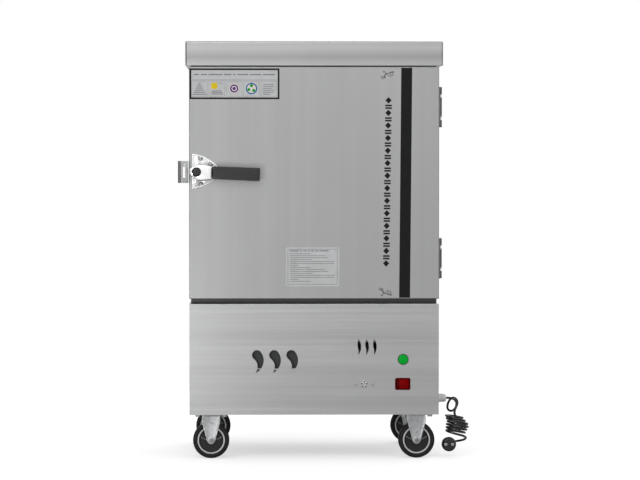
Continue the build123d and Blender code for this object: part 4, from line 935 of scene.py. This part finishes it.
def latch_plate(settings):
    """A bowed casting cut straight at the door's edge: raised rim, raised field and screw pockets."""
    rim_width = settings.rim_width / mm
    sole = drawn("sole", plate_outline(settings, 0, 0), forward * 2.0 * mm)
    rim = drawn("rim", plate_outline(settings, 0.5, 1.5), forward * 2.2 * mm)
    cut(rim, drawn("hollow", plate_outline(settings, rim_width, 1.0), forward * 5.0 * mm))
    field = drawn("field", plate_outline(settings, rim_width + 4.0, 1.5), forward * 1.3 * mm)
    floors = []
    for x, z in plate_screws:
        cut(field, turned("pocket", at(x, front - 0.5, z), forward, [(0, 7.4), (4, 8.6)], 32))
        # Painted shade: each pocket's floor is a darker disc than the casting round it.
        floor = turned("floor", at(x, front - 1.8, z), forward, [(0, 7.0), (0.5, 7.0), (0.7, 6.4)], 32)
        floors.append(paint(floor, "pocket_metal"))
    hub = [(2.0, 17.0), (3.2, 16.2), (4.0, 14.5), (6.2, 13.5), (6.4, 6.2)]
    pieces = [
        paint(soften(sole, 0.5, 2, 40), "dull_casting"),
        paint(soften(rim, 0.5, 2, 40), "plate_casting"),
        paint(soften(field, 0.6, 2, 40), "dull_casting"),
        paint(turned("hub", at(pivot_x, front, pivot_z), forward, hub), "bright_casting"),
    ]
    settle(joined("latch_plate_cast", pieces + floors), "door", "panel_steel", "latch_plate")


def latch_lever():
    """The cast lever: a rounded nose at the left, widening over the pivot, then to the grip."""
    outline = [(44.5, 18), (30, 20), (10, 22.5), (1, 20.5)]
    for step in range(9):
        angle = math.radians(90 + 180 * step / 8)
        outline.append((14.6 * math.cos(angle) - 6, 15.5 * math.sin(angle)))
    outline += [(1, -21.5), (10, -24.5), (30, -22.5), (44.5, -19.5)]
    places = [at(pivot_x + x, front - 6.5, pivot_z + z) for x, z in outline]
    lever = drawn("lever", places, forward * 17.0 * mm)
    open_mesh(lever)
    pick_faces(lambda normal: normal.y < -0.9)
    for inset, rise in ((2.5, 4.2), (6, 1.2)):
        bpy.ops.mesh.inset(thickness=inset * mm, depth=0)
        bpy.ops.transform.translate(value=forward * rise * mm)
    close_mesh()
    return paint(soften(lever, 0.9, 3, 28), "bright_casting")


def latch_cap():
    """The black domed cap over the pivot."""
    profile = [(0, 13.0), (1.6, 13.0), (3.4, 12.2), (4.8, 10.2), (5.6, 7.2), (6.0, 3.6), (6.1, 0.5)]
    place = at(pivot_x, front - 30.5, pivot_z)
    return paint(turned("latch_cap_dome", place, forward, profile, 56), "black_plastic")


def latch_grip():
    """The black grip: a flat bar, by the distance, half height, gap and depth of its sections."""
    start_x = pivot_x + 45.5
    sections = [
        (0, 17.4, 22.6, 25.8), (6, 17.5, 23.0, 26.0), (38, 17.5, 24.6, 25.4), (88, 17.6, 24.3, 25.4),
        (119.5, 17.8, 24.1, 25.2), (125.5, 17.7, 24.6, 24.0), (127.5, 17.4, 25.5, 21.5),
    ]
    _, half, gap, depth = sections[0]
    low = at(start_x, front - gap - depth, pivot_z - half)
    grip = block("grip", low, at(start_x + 1, front - gap, pivot_z + half))
    open_mesh(grip)
    pick_faces(lambda normal: normal.x > 0.9)
    place = 1
    for far, half, gap, depth in sections[1:]:
        draw_out(right * (far - place) * mm)
        place = far
        mesh = bmesh.from_edit_mesh(grip.data)
        centre = at(start_x, front - gap - depth / 2, pivot_z)
        for vertex in mesh.verts:
            if vertex.select:
                rise = half if vertex.co.z > centre.z else -half
                reach = gap if vertex.co.y > centre.y else gap + depth
                vertex.co.z = at(0, 0, pivot_z + rise).z
                vertex.co.y = at(0, front - reach, 0).y
        bmesh.update_edit_mesh(grip.data)
    close_mesh()
    return paint(soften(grip, 2.2, 4, 50), "black_plastic")


def cross_screws():
    """Pan-head screws with a cross slot: three in the latch plate and four in the hinges."""
    places = [at(x, front - 1.4, z) for x, z in plate_screws]
    first = places[0]
    profile = [(-2.0, 2.3), (0, 2.3), (0, 4.4), (1.0, 4.5), (1.7, 3.9), (2.2, 2.6), (2.3, 0.6)]
    screw = turned("screw", first, forward, profile, 32)
    for wide, tall in ((2.4, 0.55), (0.55, 2.4)):
        low, high = Vector((-wide, -3.0, -tall)), Vector((wide, -1.3, tall))
        cut(screw, block("slot", first + low * mm, first + high * mm))
    paint(screw, "screw_steel")
    screws = [screw] + [copied(screw, "screw_copy", place - first) for place in places[1:]]
    turn = Matrix.Rotation(math.radians(90), 4, "Z")
    for place in hinge_screws:
        screws.append(copied(screw, "screw_copy", -first))
        screws[-1].data.transform(Matrix.Translation(place) @ turn)
    settle(joined("cross_screws", screws), "door", "zinc_steel", "door_screws")


class CART_OT_latch(Operator):
    """Models the latch: its bowed plate, cast lever, black cap and grip, and the screws"""

    bl_idname = "steam_cart.latch"
    bl_label = "Model the latch"

    def execute(self, context):
        settings = context.scene.steam_cart_latch
        latch_plate(settings)
        for piece, slot, node in (
            (latch_lever(), "bright_steel", "latch_lever"),
            (latch_cap(), "black_plastic", "latch_cap"),
            (latch_grip(), "black_plastic", "latch_grip"),
        ):
            open_mesh(piece, chosen="SELECT")
            bpy.ops.transform.rotate(
                value=-settings.droop,
                orient_axis="Y",
                orient_type="GLOBAL",
                center_override=at(pivot_x, front, pivot_z),
            )
            close_mesh()
            settle(piece, "latch", slot, node)
        cross_screws()
        return {"FINISHED"}


# Small metal

def fold(name, half, face, height, body, material):
    """A folded edge along a sheet: a rounded bar behind a face, at a height."""
    length, radius, rounding, sink = 2 * half, 1.2, 0.6, 0.9
    profile = [(0, radius - rounding), (rounding, radius)]
    profile += [(length - rounding, radius), (length, radius - rounding)]
    bar = turned(name, at(-half, face + sink, height), right, profile, 16)
    settle(paint(bar, material), body, "panel_steel")


def keeper():
    """The bent keeper at the cabinet's left: arm, slotted flange and returned lip."""
    low, high = pivot_z - 30, pivot_z + 30
    lip_x, edge_x, arm_x = -base_half - 30.5, -base_half - 22.0, -base_half - 3.5
    face = front - 18.5
    flange = block("flange", at(edge_x, face, low), at(-base_half - 1.7, face + 3, high))
    slot_low = at(-base_half - 16.7, face - 2, pivot_z - 16)
    cut(flange, block("slot", slot_low, at(-base_half - 11, face + 5, pivot_z + 14)))
    hole = at(-base_half - 13.5, face - 2, pivot_z + 21)
    cut(flange, turned("hole", hole, backward, [(0, 1.6), (8, 1.6)], 16))
    arm = block("arm", at(arm_x - 3, face + 3, low), at(arm_x, -236, high))
    turns = [math.radians(90 * step / 5) for step in range(6)]
    wide, tight = 5.5, 2.5
    bend_x, bend_y = lip_x + wide, face + wide
    outer = [(bend_x - wide * math.sin(turn), bend_y - wide * math.cos(turn)) for turn in turns]
    inner = [(bend_x - tight * math.sin(turn), bend_y - tight * math.cos(turn)) for turn in turns[::-1]]
    ends = [(lip_x, face + 27), (lip_x + 3, face + 27)]
    outline = [(edge_x, face), *outer, *ends, *inner, (edge_x, face + 3)]
    lip = drawn("lip", [at(x, y, low) for x, y in outline], up * (high - low) * mm)
    pieces = [
        paint(soften(flange, 0.4), "keeper_steel"),
        paint(soften(arm, 0.4), "keeper_steel"),
        # Painted shade: the returned lip takes the darker hinge steel, for the shade on the side it turns
        # towards.
        paint(soften(lip, 0.3, 2, 50), "hinge_steel"),
    ]
    settle(joined("bent_keeper", pieces), "cabinet", "bright_steel", "latch_keeper")


def baffle():
    """A draught baffle behind the air holes: a sheet painted near black as painted shade inside the base,
    hung by its flanges, with a bright lower lip.
    """
    near, far = front + 2, front + 22
    low, high = 247.0, 316.0
    left_x, right_x = -190.0, -30.0
    pieces = [
        block("sheet", at(left_x, far, low), at(right_x, far + 1, high)),
        block("flange", at(left_x, near, low), at(left_x + 1, far + 0.5, high)),
        block("flange", at(right_x - 1, near, low), at(right_x, far + 0.5, high)),
        block("flange", at(left_x, near, high - 1), at(right_x, far + 0.5, high)),
    ]
    # Painted shade: the sheet and flanges are near black, for the shade inside the base.
    for piece in pieces:
        paint(soften(piece, 0.2, 1), "inner_steel_painted_shade")
    edge = [(left_x, 250.2), (right_x, 250.2), (right_x, 234.0)]
    edge += [(-84, 238.4), (-104, 246.0), (-132, 247.7), (left_x, 248.2)]
    lip = drawn("lip", [at(x, near + 1.5, z) for x, z in edge], backward * (far - near - 1) * mm)
    pieces.append(paint(soften(lip, 0.3, 1), "zinc_plating"))
    settle(joined("draught_baffle", pieces), "cabinet", "panel_steel")


class CART_OT_small_metal(Operator):
    """Rounds the valve lever, control box and switch, and models the folds, keeper and baffle"""

    bl_idname = "steam_cart.small_metal"
    bl_label = "Model the small metal parts"

    def execute(self, context):
        for node, name, width, corner, body, material, slot in (
            ("drain_lever", "drain_lever_pressed", 0.5, 0, "drain_handle", "red_paint", "red_paint"),
            ("control_box", "control_box_folded", 0.8, 0, "cabinet", "grey_paint", "grey_box"),
            ("switch_bezel", "switch_frame", 0.4, 5.2, "cabinet", "red_plastic", "red_plastic"),
            ("switch_rocker", "switch_key", 0.7, 0, "switch", "rocker_red", "red_plastic"),
        ):
            settle(paint(softened(node, name, width, corner), material), body, slot, node)
        cap_low, cap_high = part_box("top_cap")
        cap_front = (cap_low.y - middle.y) / mm
        cap_half = (cap_high.x - cap_low.x) / 2 / mm
        # The base's and the door's top folds catch real highlights on their curve, and their lighter steel
        # adds painted highlight.
        fold("base_top_fold", base_half, front, base_top - 0.9, "cabinet", "fold_steel_with_painted_highlight")
        fold("door_top_fold", door_half - 1.5, front, door_top - 1.8, "door", "fold_steel_with_painted_highlight")
        cap_edge = cap_low.z / mm - 0.7
        fold("cap_lower_fold", cap_half - 0.3, cap_front + 0.3, cap_edge, "cabinet", "cap_steel_painted_shade")
        keeper()
        baffle()
        return {"FINISHED"}


class CART_OT_lamp_and_buzzer(Operator):
    """Models the green lamp and the raised edges of the sound holes"""

    bl_idname = "steam_cart.lamp_and_buzzer"
    bl_label = "Model the lamp and the sound holes"

    def execute(self, context):
        lamp = at(base_half - 97.9, front, base_top - 152.0)
        ring = [(0, 13.0), (0, 15.0), (1.6, 15.0), (2.6, 14.6), (3.0, 14.0), (2.8, 13.3), (1.0, 13.0)]
        lens = [(0.5, 13.2), (3.6, 13.2), (4.8, 12.4), (5.6, 10.4), (6.2, 6.6), (6.4, 2.0), (6.4, 0.4)]
        barrel = [(0.2, 10.8), (24, 10.8), (25, 10.2), (28, 8.0)]
        pieces = [
            paint(spun("rim", lamp, forward, ring), "dark_rim"),
            paint(turned("lens", lamp, forward, lens, 56), "green_lens"),
            paint(turned("barrel", lamp, backward, barrel, 40), "black_plastic"),
        ]
        settle(joined("green_lamp", pieces), "cabinet", "green_lens", "indicator_lamp")
        burr = [(-0.2, 1.72), (-0.2, 3.5), (0.15, 3.3), (0.7, 2.3), (0.7, 1.85)]
        burrs = []
        centre_x, centre_z, reach = base_half - 204.5, base_low + 84.0, 7
        for hole in range(5):
            angle = math.radians(18 + 72 * hole)
            place = at(centre_x + reach * math.cos(angle), front, centre_z + reach * math.sin(angle))
            burrs.append(paint(spun("burr", place, forward, burr, steps=28), "dull_casting"))
        settle(joined("sound_hole_burrs", burrs), "cabinet", "panel_steel")
        return {"FINISHED"}


# Labels, stripe and marks on the door. A box is its left, low, right and high, in mm.

def printed_sheet(box, level, ink, corner=0.0):
    """One flat printed layer of a label, at a level above the film."""
    settings = bpy.context.scene.steam_cart_labels
    left_x, low, right_x, high = box
    near = front - level * settings.print_step / mm - (settings.film / mm if level else 0)
    corners = [(left_x, low), (right_x, low), (right_x, high), (left_x, high)]
    sheet = outline_piece("sheet", [at(x, near, z) for x, z in corners], "NGON")
    if corner:
        bpy.ops.mesh.bevel(offset=corner * mm, segments=4, affect="VERTICES")
        bpy.ops.mesh.select_all(action="SELECT")
    draw_out(forward * (settings.print_step if level else settings.film))
    seal()
    return paint(sheet, ink)


def printed_disc(x, z, radius, level, ink):
    """A round printed layer of a label."""
    settings = bpy.context.scene.steam_cart_labels
    step = settings.print_step / mm
    near = at(x, front - level * step - settings.film / mm, z)
    return paint(turned("disc", near, forward, [(0, radius), (step, radius)], 40), ink)


def bars(left_x, top, widths, height, pitch, level):
    """Plain grey bars below each other."""
    made = []
    for row, width in enumerate(widths):
        high = top - row * pitch
        made.append(printed_sheet((left_x, high - height, left_x + width, high), level, "grey_film"))
    return made


def shrunk(box, margin):
    """A box drawn in by a margin on each side."""
    left_x, low, right_x, high = box
    return left_x + margin, low + margin, right_x - margin, high - margin


def top_label():
    """The black-edged label: a row of bars over five cells with plain generic marks."""
    left_x, right_x = -door_half + 1.6, -door_half + 247
    low, high = door_top - 89, door_top - 5
    outer = (left_x, low, right_x, high)
    border = bpy.context.scene.steam_cart_labels.border / mm
    sheets = [
        printed_sheet(outer, 0, "black_film", 0.8),
        printed_sheet(shrunk(outer, border), 1, "pale_film"),
        printed_sheet((left_x + 6, high - 32.4, right_x - 6, high - 31.0), 2, "grey_film"),
    ]
    place = left_x + 12
    for width in (14, 17, 38, 20, 7, 30, 32, 33):
        sheets += bars(place, high - 15.2, [width], 3.4, 5, 2)
        place += width + 4.4
    cell, pitch, cell_top = 43.0, 47.3, high - 35.5
    starts = [left_x + 5.6 + column * pitch for column in range(5)]
    for x in starts:
        box = (x, low + 6.5, x + cell, cell_top)
        sheets.append(printed_sheet(box, 2, "grey_film", 1.0))
        sheets.append(printed_sheet(shrunk(box, 0.6), 3, "pale_film", 1.0))
    centres = [x + cell / 2 for x in starts]
    for row in range(7):
        half = 3.0 + 2.6 * row
        sheets += bars(centres[0] - half, cell_top - 4.5 - row * 5.0, [2 * half], 2.2, 5, 4)
    square = (starts[1] + 6, cell_top - 20.5, starts[1] + 23, cell_top - 4)
    sheets.append(printed_sheet(square, 4, "yellow_film", 3))
    sheets += bars(starts[1] + 26, cell_top - 4.5, [14], 1.4, 3, 4)
    sheets += bars(starts[1] + 7, cell_top - 25, [27, 30, 32], 2.4, 4.2, 4)
    disc_z, dot_reach = cell_top - 19.5, 7.8
    for column, radius, level, ink in (
        (2, 15.5, 4, "grey_film"), (2, 14.8, 5, "light_film"), (2, 11.4, 6, "purple_film"),
        (2, 7.2, 7, "light_film"), (2, 4.6, 8, "purple_film"),
        (3, 15.6, 4, "blue_film"), (3, 12.2, 5, "light_film"),
    ):
        sheets.append(printed_disc(centres[column], disc_z, radius, level, ink))
    for degrees in (90, 200, 320):
        angle = math.radians(degrees)
        x = centres[3] + dot_reach * math.cos(angle)
        sheets.append(printed_disc(x, disc_z + dot_reach * math.sin(angle), 4.3, 6, "green_film"))
    sheets += bars(starts[4] + 6, cell_top - 7, [28, 31, 24, 31, 29, 20], 2.0, 5.4, 4)
    settle(joined("top_label", sheets), "door", "label_film", "door_stickers")


def lower_label():
    """The pale label near the door's foot: a thin frame round uneven rows of bars."""
    centre, low = -4.6, door_low + 34.5
    box = (centre - 73, low, centre + 73, low + 107)
    left_x, top = box[0] + 11, box[3]
    sheets = [
        printed_sheet(box, 0, "pale_film", 4),
        printed_sheet(shrunk(box, 5), 1, "grey_film", 2),
        printed_sheet(shrunk(box, 6.2), 2, "pale_film", 1.6),
    ]
    place = left_x
    for width in (24, 6, 10, 6, 8, 8, 26):
        sheets += bars(place, top - 8.5, [width], 3.0, 5, 3)
        place += width + 3
    rows = [(56, 96, 104, 62, 122, 122, 24)[row % 7] for row in range(15)]
    sheets += bars(left_x, top - 17, rows, 1.5, 5.4, 3)
    settle(joined("lower_label", sheets), "door", "label_film")


def door_stripe(film):
    """The black stripe, which leans a little."""
    half = 15.0
    low_x, high_x = door_half - 94.6, door_half - 89.1
    low, high = door_low + 3, door_top - 3
    corners = [(low_x - half, low), (low_x + half, low), (high_x + half, high), (high_x - half, high)]
    stripe = drawn("door_stripe", [at(x, front, z) for x, z in corners], forward * film * 2)
    settle(paint(stripe, "black_film"), "door", "label_film")


def door_column(film):
    """A leaning column of plain lozenges and bars, with a flourish above and below it."""
    first_x, first_z, lean = 203.1, 984.0, 0.0144
    pitch, count = 34.3, 14
    half_width, half_height = 8.5, 9
    marks = []
    for step in range(count):
        z = first_z - step * pitch
        x = first_x - (first_z - z) * lean
        corners = [(x - half_width, z), (x, z - half_height), (x + half_width, z), (x, z + half_height)]
        lozenge = drawn("lozenge", [at(px, front, pz) for px, pz in corners], forward * film)
        marks.append(paint(lozenge, "black_film"))
        if step < count - 1:
            for top in (z - 11.8, z - 18.8):
                marks.append(printed_sheet((x - 9, top - 4.6, x + 9, top), 0, "black_film", 1))
    marks += flourish(200.0, 1054.0, 1, film)
    marks += flourish(194.2, 459.5, -1, film)
    settle(joined("door_marks", marks), "door", "label_film")


def flourish(centre_x, centre_z, side, film):
    """A plain vine flourish: curls that spring from a crossing."""
    crossing = Vector((-4.0, 3.5))
    steps, shrinking, half_width = 16, 0.8, 0.75
    strokes = []
    for centre, reach, start, turns in (
        (Vector((9.5, 3.0)), 8.0, 215, 1.3),
        (Vector((16.0, 6.5)), 3.4, 200, -0.8),
        (Vector((-13.5, -7.0)), 5.6, 35, -1.2),
        (Vector((-7.0, -6.5)), 4.0, 60, 1.1),
        (Vector((-10.0, 8.0)), 3.2, -30, 1.0),
    ):
        places = [crossing]
        for step in range(steps + 1):
            share = step / steps
            angle = math.radians(start) + 2 * math.pi * turns * share
            arm = Vector((math.cos(angle), math.sin(angle))) * reach * (1 - shrinking * share)
            places.append(centre + arm)
        route = [at(centre_x + place.x, front, centre_z + side * place.y) for place in places]
        strokes.append(flat_stroke(route, half_width, film))
    return strokes


def flat_stroke(route, half_width, film):
    """A thin flat printed line along a route on the door."""
    only(smooth_bar("stroke", route, half_width * mm, 1, 2))
    bpy.ops.object.convert(target="MESH")
    stroke = bpy.context.active_object
    open_mesh(stroke, chosen="SELECT")
    thin = film / (half_width * mm)
    bpy.ops.transform.resize(value=(1, thin, 1), center_override=at(0, front, 0))
    close_mesh()
    return paint(stroke, "black_film")


class CART_OT_labels(Operator):
    """Prints the door's two labels with plain generic marks, and the black stripe and column"""

    bl_idname = "steam_cart.labels"
    bl_label = "Print the labels"

    def execute(self, context):
        film = context.scene.steam_cart_labels.film
        top_label()
        lower_label()
        door_stripe(film)
        door_column(film)
        return {"FINISHED"}


# Casters
caster_x = base_half - 58.5
caster_y = -front - 58.5
caster_places = {
    "front_left": (-caster_x, -caster_y),
    "front_right": (caster_x, -caster_y),
    "back_left": (-caster_x, caster_y),
    "back_right": (caster_x, caster_y),
}
plate_low = base_low - 3.0
axle_height = 50.0


def mirrored(half):
    """A closed profile from its half on one side of the wheel's middle."""
    return half + [(-distance, radius) for distance, radius in reversed(half)]


def cheek_outline(x, y):
    """The side view of a cheek: shoulders, a straight taper and a round tip at the axle."""
    shoulders = [(23.8, plate_low + 1), (24.8, plate_low - 8), (25.0, plate_low - 16), (24.2, plate_low - 25)]
    tip_radius = 11.4
    tip = []
    for step in range(9):
        angle = math.radians(-15 - 150 * step / 8)
        tip.append((tip_radius * math.cos(angle), axle_height + tip_radius * math.sin(angle)))
    across = [(-px, pz) for px, pz in reversed(shoulders)]
    return [at(x + px, y, pz) for px, pz in shoulders + tip + across]


def caster_fork(settings, x, y):
    """The pressed fork: two sunk cheeks with bosses, a web and the bolted plate, and the axle's ends."""
    bolt = settings.bolt_radius / mm
    boss = [(0, 10.2), (2.6, 10.2), (3.2, 9.6), (3.5, 8.8), (3.5, bolt + 0.6), (0, bolt + 0.6)]
    head = [(6.2, bolt), (6.7, bolt), (6.9, bolt - 0.6), (6.9, 1.5)]
    cheek_gap, cheek_thickness, sunk = 17.5, 2.5, 0.9
    pieces = []
    heads = []
    for axis in (forward, backward):
        inner = y + axis.y * cheek_gap
        cheek = drawn("cheek", cheek_outline(x, inner), axis * cheek_thickness * mm)
        open_mesh(cheek)
        pick_faces(lambda normal: normal.dot(axis) > 0.9)
        bpy.ops.mesh.inset(thickness=3.2 * mm, depth=0)
        bpy.ops.mesh.inset(thickness=1.6 * mm, depth=0)
        bpy.ops.transform.translate(value=axis * -sunk * mm)
        close_mesh()
        axle = at(x, inner, axle_height)
        pieces += [soften(cheek, 0.7, 3, 20), spun("boss", axle, axis, boss, steps=40)]
        heads.append(paint(turned("head", axle, axis, head, 32), "pocket_metal"))
    plate = block("plate", at(x - 45, y - 38, plate_low), at(x + 45, y + 38, plate_low + 3))
    pieces.append(soften(round_corners(plate, up, 8), 0.5, 2, 50))
    web = block("web", at(x - 24, y - 17.6, plate_low - 2.5), at(x + 24, y + 17.6, plate_low))
    pieces.append(soften(web, 0.6, 2, 50))
    return joined("fork", [paint(joined("pressing", pieces), "zinc_plating"), *heads])


def wheel_tyre(x, y):
    half = [(14.2, 38.45), (15.6, 39.6), (16.0, 42.0), (15.8, 45.2), (14.6, 47.9), (12.4, 49.4), (9.6, 50.0)]
    tyre = spun("tyre", at(x, y, axle_height), backward, mirrored(half), steps=80)
    return paint(tyre, "tyre_rubber")


def wheel_centre(settings, x, y):
    """The wheel centre: hub, dished web and rim, a pale ring each side and curved ribs."""
    centre = at(x, y, axle_height)
    half = [(17.2, 5.1), (17.2, 10.2), (16.4, 11.0), (10.4, 12.0), (9.4, 13.6), (9.4, 30.0)]
    half += [(10.4, 31.6), (14.0, 32.4), (14.2, 38.4)]
    pieces = [paint(spun("web", centre, backward, mirrored(half)), "core_plastic")]
    inner, outer = settings.ring_inner / mm, settings.ring_outer / mm
    ring = [(13.6, inner), (14.6, inner + 0.3), (15.1, inner + 1.1)]
    ring += [(15.1, outer - 1.1), (14.6, outer - 0.3), (13.6, outer)]
    for axis in (forward, backward):
        pieces.append(paint(spun("ring", centre, axis, ring), "ring_plastic"))
        for side in (-1, 1):
            pieces.append(wheel_rib(centre + axis * 9 * mm, axis, side, settings.rib_reach / mm))
    return joined("core", pieces)


def wheel_rib(centre, axis, side, reach):
    """A low rib of the wheel's centre that curves from the hub towards the rim."""
    start, count, half_width = 11.5, 8, 1.7
    upper, lower = [], []
    for step in range(count + 1):
        share = step / count
        run = right * side * (start + (reach - start) * share)
        rise = up * (1.5 + 7.5 * share**1.6)
        upper.append(centre + (run + rise + up * half_width) * mm)
        lower.append(centre + (run + rise - up * half_width) * mm)
    rib = drawn("rib", upper + lower[::-1], axis * 3.6 * mm)
    return paint(soften(rib, 0.4, 2, 50), "rib_plastic")


class CART_OT_casters(Operator):
    """Models one caster: pressed fork, tyre, ringed wheel centre; then copies it to the corners"""

    bl_idname = "steam_cart.casters"
    bl_label = "Model the casters"

    def execute(self, context):
        settings = context.scene.steam_cart_casters
        home = caster_places["front_left"]
        fork = caster_fork(settings, *home)
        tyre = wheel_tyre(*home)
        core = wheel_centre(settings, *home)
        forks = []
        for name, place in caster_places.items():
            move = at(*place, 0) - at(*home, 0)
            body = f"wheel_{name}"
            forks.append(copied(fork, f"fork_{name}", move))
            tyre_copy = copied(tyre, f"rubber_tyre_{name}", move)
            settle(tyre_copy, body, "tyre_rubber", f"tyre_{name}", angle=40)
            core_copy = copied(core, f"wheel_centre_{name}", move)
            settle(core_copy, body, "black_plastic", f"wheel_core_{name}")
        for first in (fork, tyre, core):
            bpy.data.objects.remove(first, do_unlink=True)
        settle(joined("pressed_forks", forks), "cabinet", "zinc_steel", "caster_forks")
        return {"FINISHED"}


# Stage

def clouded(name, scale, detail, low, high):
    """A material for the stage, without a shader yet, and its grey that clouds take from low to high."""
    material = bare_material(name)
    tree = material.node_tree
    clouds = noise(tree, add_node(tree, "ShaderNodeTexCoord").outputs["Object"], scale, detail)
    return material, tree, varied(tree, clouds, (1.0, 1.0, 1.0), low, high)


def studio_floor():
    """The pale floor, which the camera sees as white with the cart's soft shadow."""
    deselect_all()
    bpy.ops.mesh.primitive_grid_add(x_subdivisions=8, y_subdivisions=8, size=4.4, location=(0, 0, 0))
    floor = named("studio_floor")
    material, tree, tone = clouded("studio_floor", 1.5, 3.0, 0.62, 0.66)
    shader = add_node(tree, "ShaderNodeBsdfPrincipled", {"Base Color": tone, "Roughness": 0.9})
    seen = add_node(tree, "ShaderNodeLightPath").outputs["Is Camera Ray"]
    strength = worked(tree, "MULTIPLY", seen, 0.55)
    glow = add_node(tree, "ShaderNodeEmission", {"Color": (1, 1, 1, 1), "Strength": strength})
    both = add_node(tree, "ShaderNodeAddShader", {0: shader.outputs[0], 1: glow.outputs[0]})
    add_node(tree, "ShaderNodeOutputMaterial", {"Surface": both.outputs[0]})
    floor.data.materials.append(material)


def dark_card(name, side):
    """A dark card that is seen only in reflections, for darker edges on round metal."""
    deselect_all()
    place = at(side * 2300, -1700, 1000)
    bpy.ops.mesh.primitive_grid_add(
        x_subdivisions=4,
        y_subdivisions=4,
        size=1.6,
        location=place,
        rotation=(at(0, front, 1000) - place).to_track_quat("Z", "Y").to_euler(),
    )
    card = named(name)
    card.visible_camera = False
    card.visible_diffuse = False
    card.visible_shadow = False
    material, tree, tone = clouded(name, 2.0, 2.0, 0.02, 0.04)
    shader = add_node(tree, "ShaderNodeBsdfDiffuse", {"Color": tone})
    add_node(tree, "ShaderNodeOutputMaterial", {"Surface": shader.outputs[0]})
    card.data.materials.append(material)


def surroundings(ambient):
    """White for camera, gloss and glass, and a lower even light for everything else."""
    world = bpy.data.worlds.new("studio")
    bpy.context.scene.world = world
    world.use_nodes = True
    tree = world.node_tree
    tree.nodes.clear()
    rays = add_node(tree, "ShaderNodeLightPath").outputs
    seen = worked(tree, "MAXIMUM", rays["Is Camera Ray"], rays["Is Glossy Ray"])
    seen = worked(tree, "MAXIMUM", seen, rays["Is Transmission Ray"])
    inputs = {"Color": (1, 1, 1, 1), "Strength": mix_value(tree, seen, ambient, 1.0)}
    background = add_node(tree, "ShaderNodeBackground", inputs)
    add_node(tree, "ShaderNodeOutputWorld", {"Surface": background.outputs[0]})


def soft_light(name, place, target, size, power):
    """A square lamp at a place that faces a target."""
    deselect_all()
    bpy.ops.object.light_add(type="AREA", location=place)
    lamp = bpy.context.active_object
    lamp.name = name
    lamp.rotation_euler = (target - place).to_track_quat("-Z", "Y").to_euler()
    lamp.data.size = size
    lamp.data.energy = power
    lamp.visible_camera = False


def front_camera(settings):
    """The photograph's viewpoint: a long lens from the front, a little left of the middle."""
    deselect_all()
    reach = Vector((settings.camera_side, -settings.camera_distance, settings.camera_height))
    place = at(0, front, 0) + reach
    target = at(15.7, front, 602.3)
    bpy.ops.object.camera_add(location=place)
    camera = bpy.context.active_object
    camera.name = "front_camera"
    camera.rotation_euler = (target - place).to_track_quat("-Z", "Y").to_euler()
    camera.data.sensor_width = 36
    camera.data.lens = settings.lens
    camera.data.clip_end = 100
    bpy.context.scene.camera = camera


class CART_OT_stage(Operator):
    """Sets the floor, the soft lights, the white surroundings and the camera"""

    bl_idname = "steam_cart.stage"
    bl_label = "Set the stage"

    def execute(self, context):
        settings = context.scene.steam_cart_stage
        studio_floor()
        surroundings(settings.ambient)
        cart = at(0, 0, 620)
        soft_light("key", at(-2300, -3300, 2900), cart, 2.4, settings.key_power)
        soft_light("fill", at(2700, -3000, 1700), cart, 2.4, settings.fill_power)
        soft_light("upper", at(-250, -3300, 2200), at(0, front, 760), 0.9, settings.upper_power)
        soft_light("rear", at(900, 3200, 2700), cart, 2.6, settings.rear_power)
        soft_light("glow", at(-1150, -3200, 110), at(-340, front, 200), 0.2, settings.glow_power)
        dark_card("left_card", -1)
        dark_card("right_card", 1)
        front_camera(settings)
        context.scene.view_settings.view_transform = "Standard"
        return {"FINISHED"}


class CART_PT_sidebar(Panel):
    """The steps that dress the cart, in the 3D view's sidebar"""

    bl_idname = "CART_PT_sidebar"
    bl_label = "Steam cart"
    bl_space_type = "VIEW_3D"
    bl_region_type = "UI"
    bl_category = "Steam cart"

    def draw(self, context):
        for operator in operators:
            self.layout.operator(operator.bl_idname)


settings_groups = {
    "steam_cart_stage": StageSettings,
    "steam_cart_steel": SteelSettings,
    "steam_cart_plastic": PlasticSettings,
    "steam_cart_cord": CordSettings,
    "steam_cart_latch": LatchSettings,
    "steam_cart_labels": LabelSettings,
    "steam_cart_casters": CasterSettings,
}
operators = [
    CART_OT_materials,
    CART_OT_cord,
    CART_OT_cad_finishes,
    CART_OT_latch,
    CART_OT_small_metal,
    CART_OT_lamp_and_buzzer,
    CART_OT_labels,
    CART_OT_casters,
    CART_OT_stage,
]
classes = [*settings_groups.values(), *operators, CART_PT_sidebar]


def register():
    for made in classes:
        bpy.utils.register_class(made)
    for name, group in settings_groups.items():
        setattr(bpy.types.Scene, name, PointerProperty(type=group))


def unregister():
    for name in settings_groups:
        delattr(bpy.types.Scene, name)
    for made in reversed(classes):
        bpy.utils.unregister_class(made)


def main():
    """Registers the classes and dresses the cart step by step."""
    register()
    bpy.ops.steam_cart.materials()
    bpy.ops.steam_cart.cord()
    bpy.ops.steam_cart.cad_finishes()
    bpy.ops.steam_cart.latch()
    bpy.ops.steam_cart.small_metal()
    bpy.ops.steam_cart.lamp_and_buzzer()
    bpy.ops.steam_cart.labels()
    bpy.ops.steam_cart.casters()
    bpy.ops.steam_cart.stage()


if __name__ == "__main__":
    main()
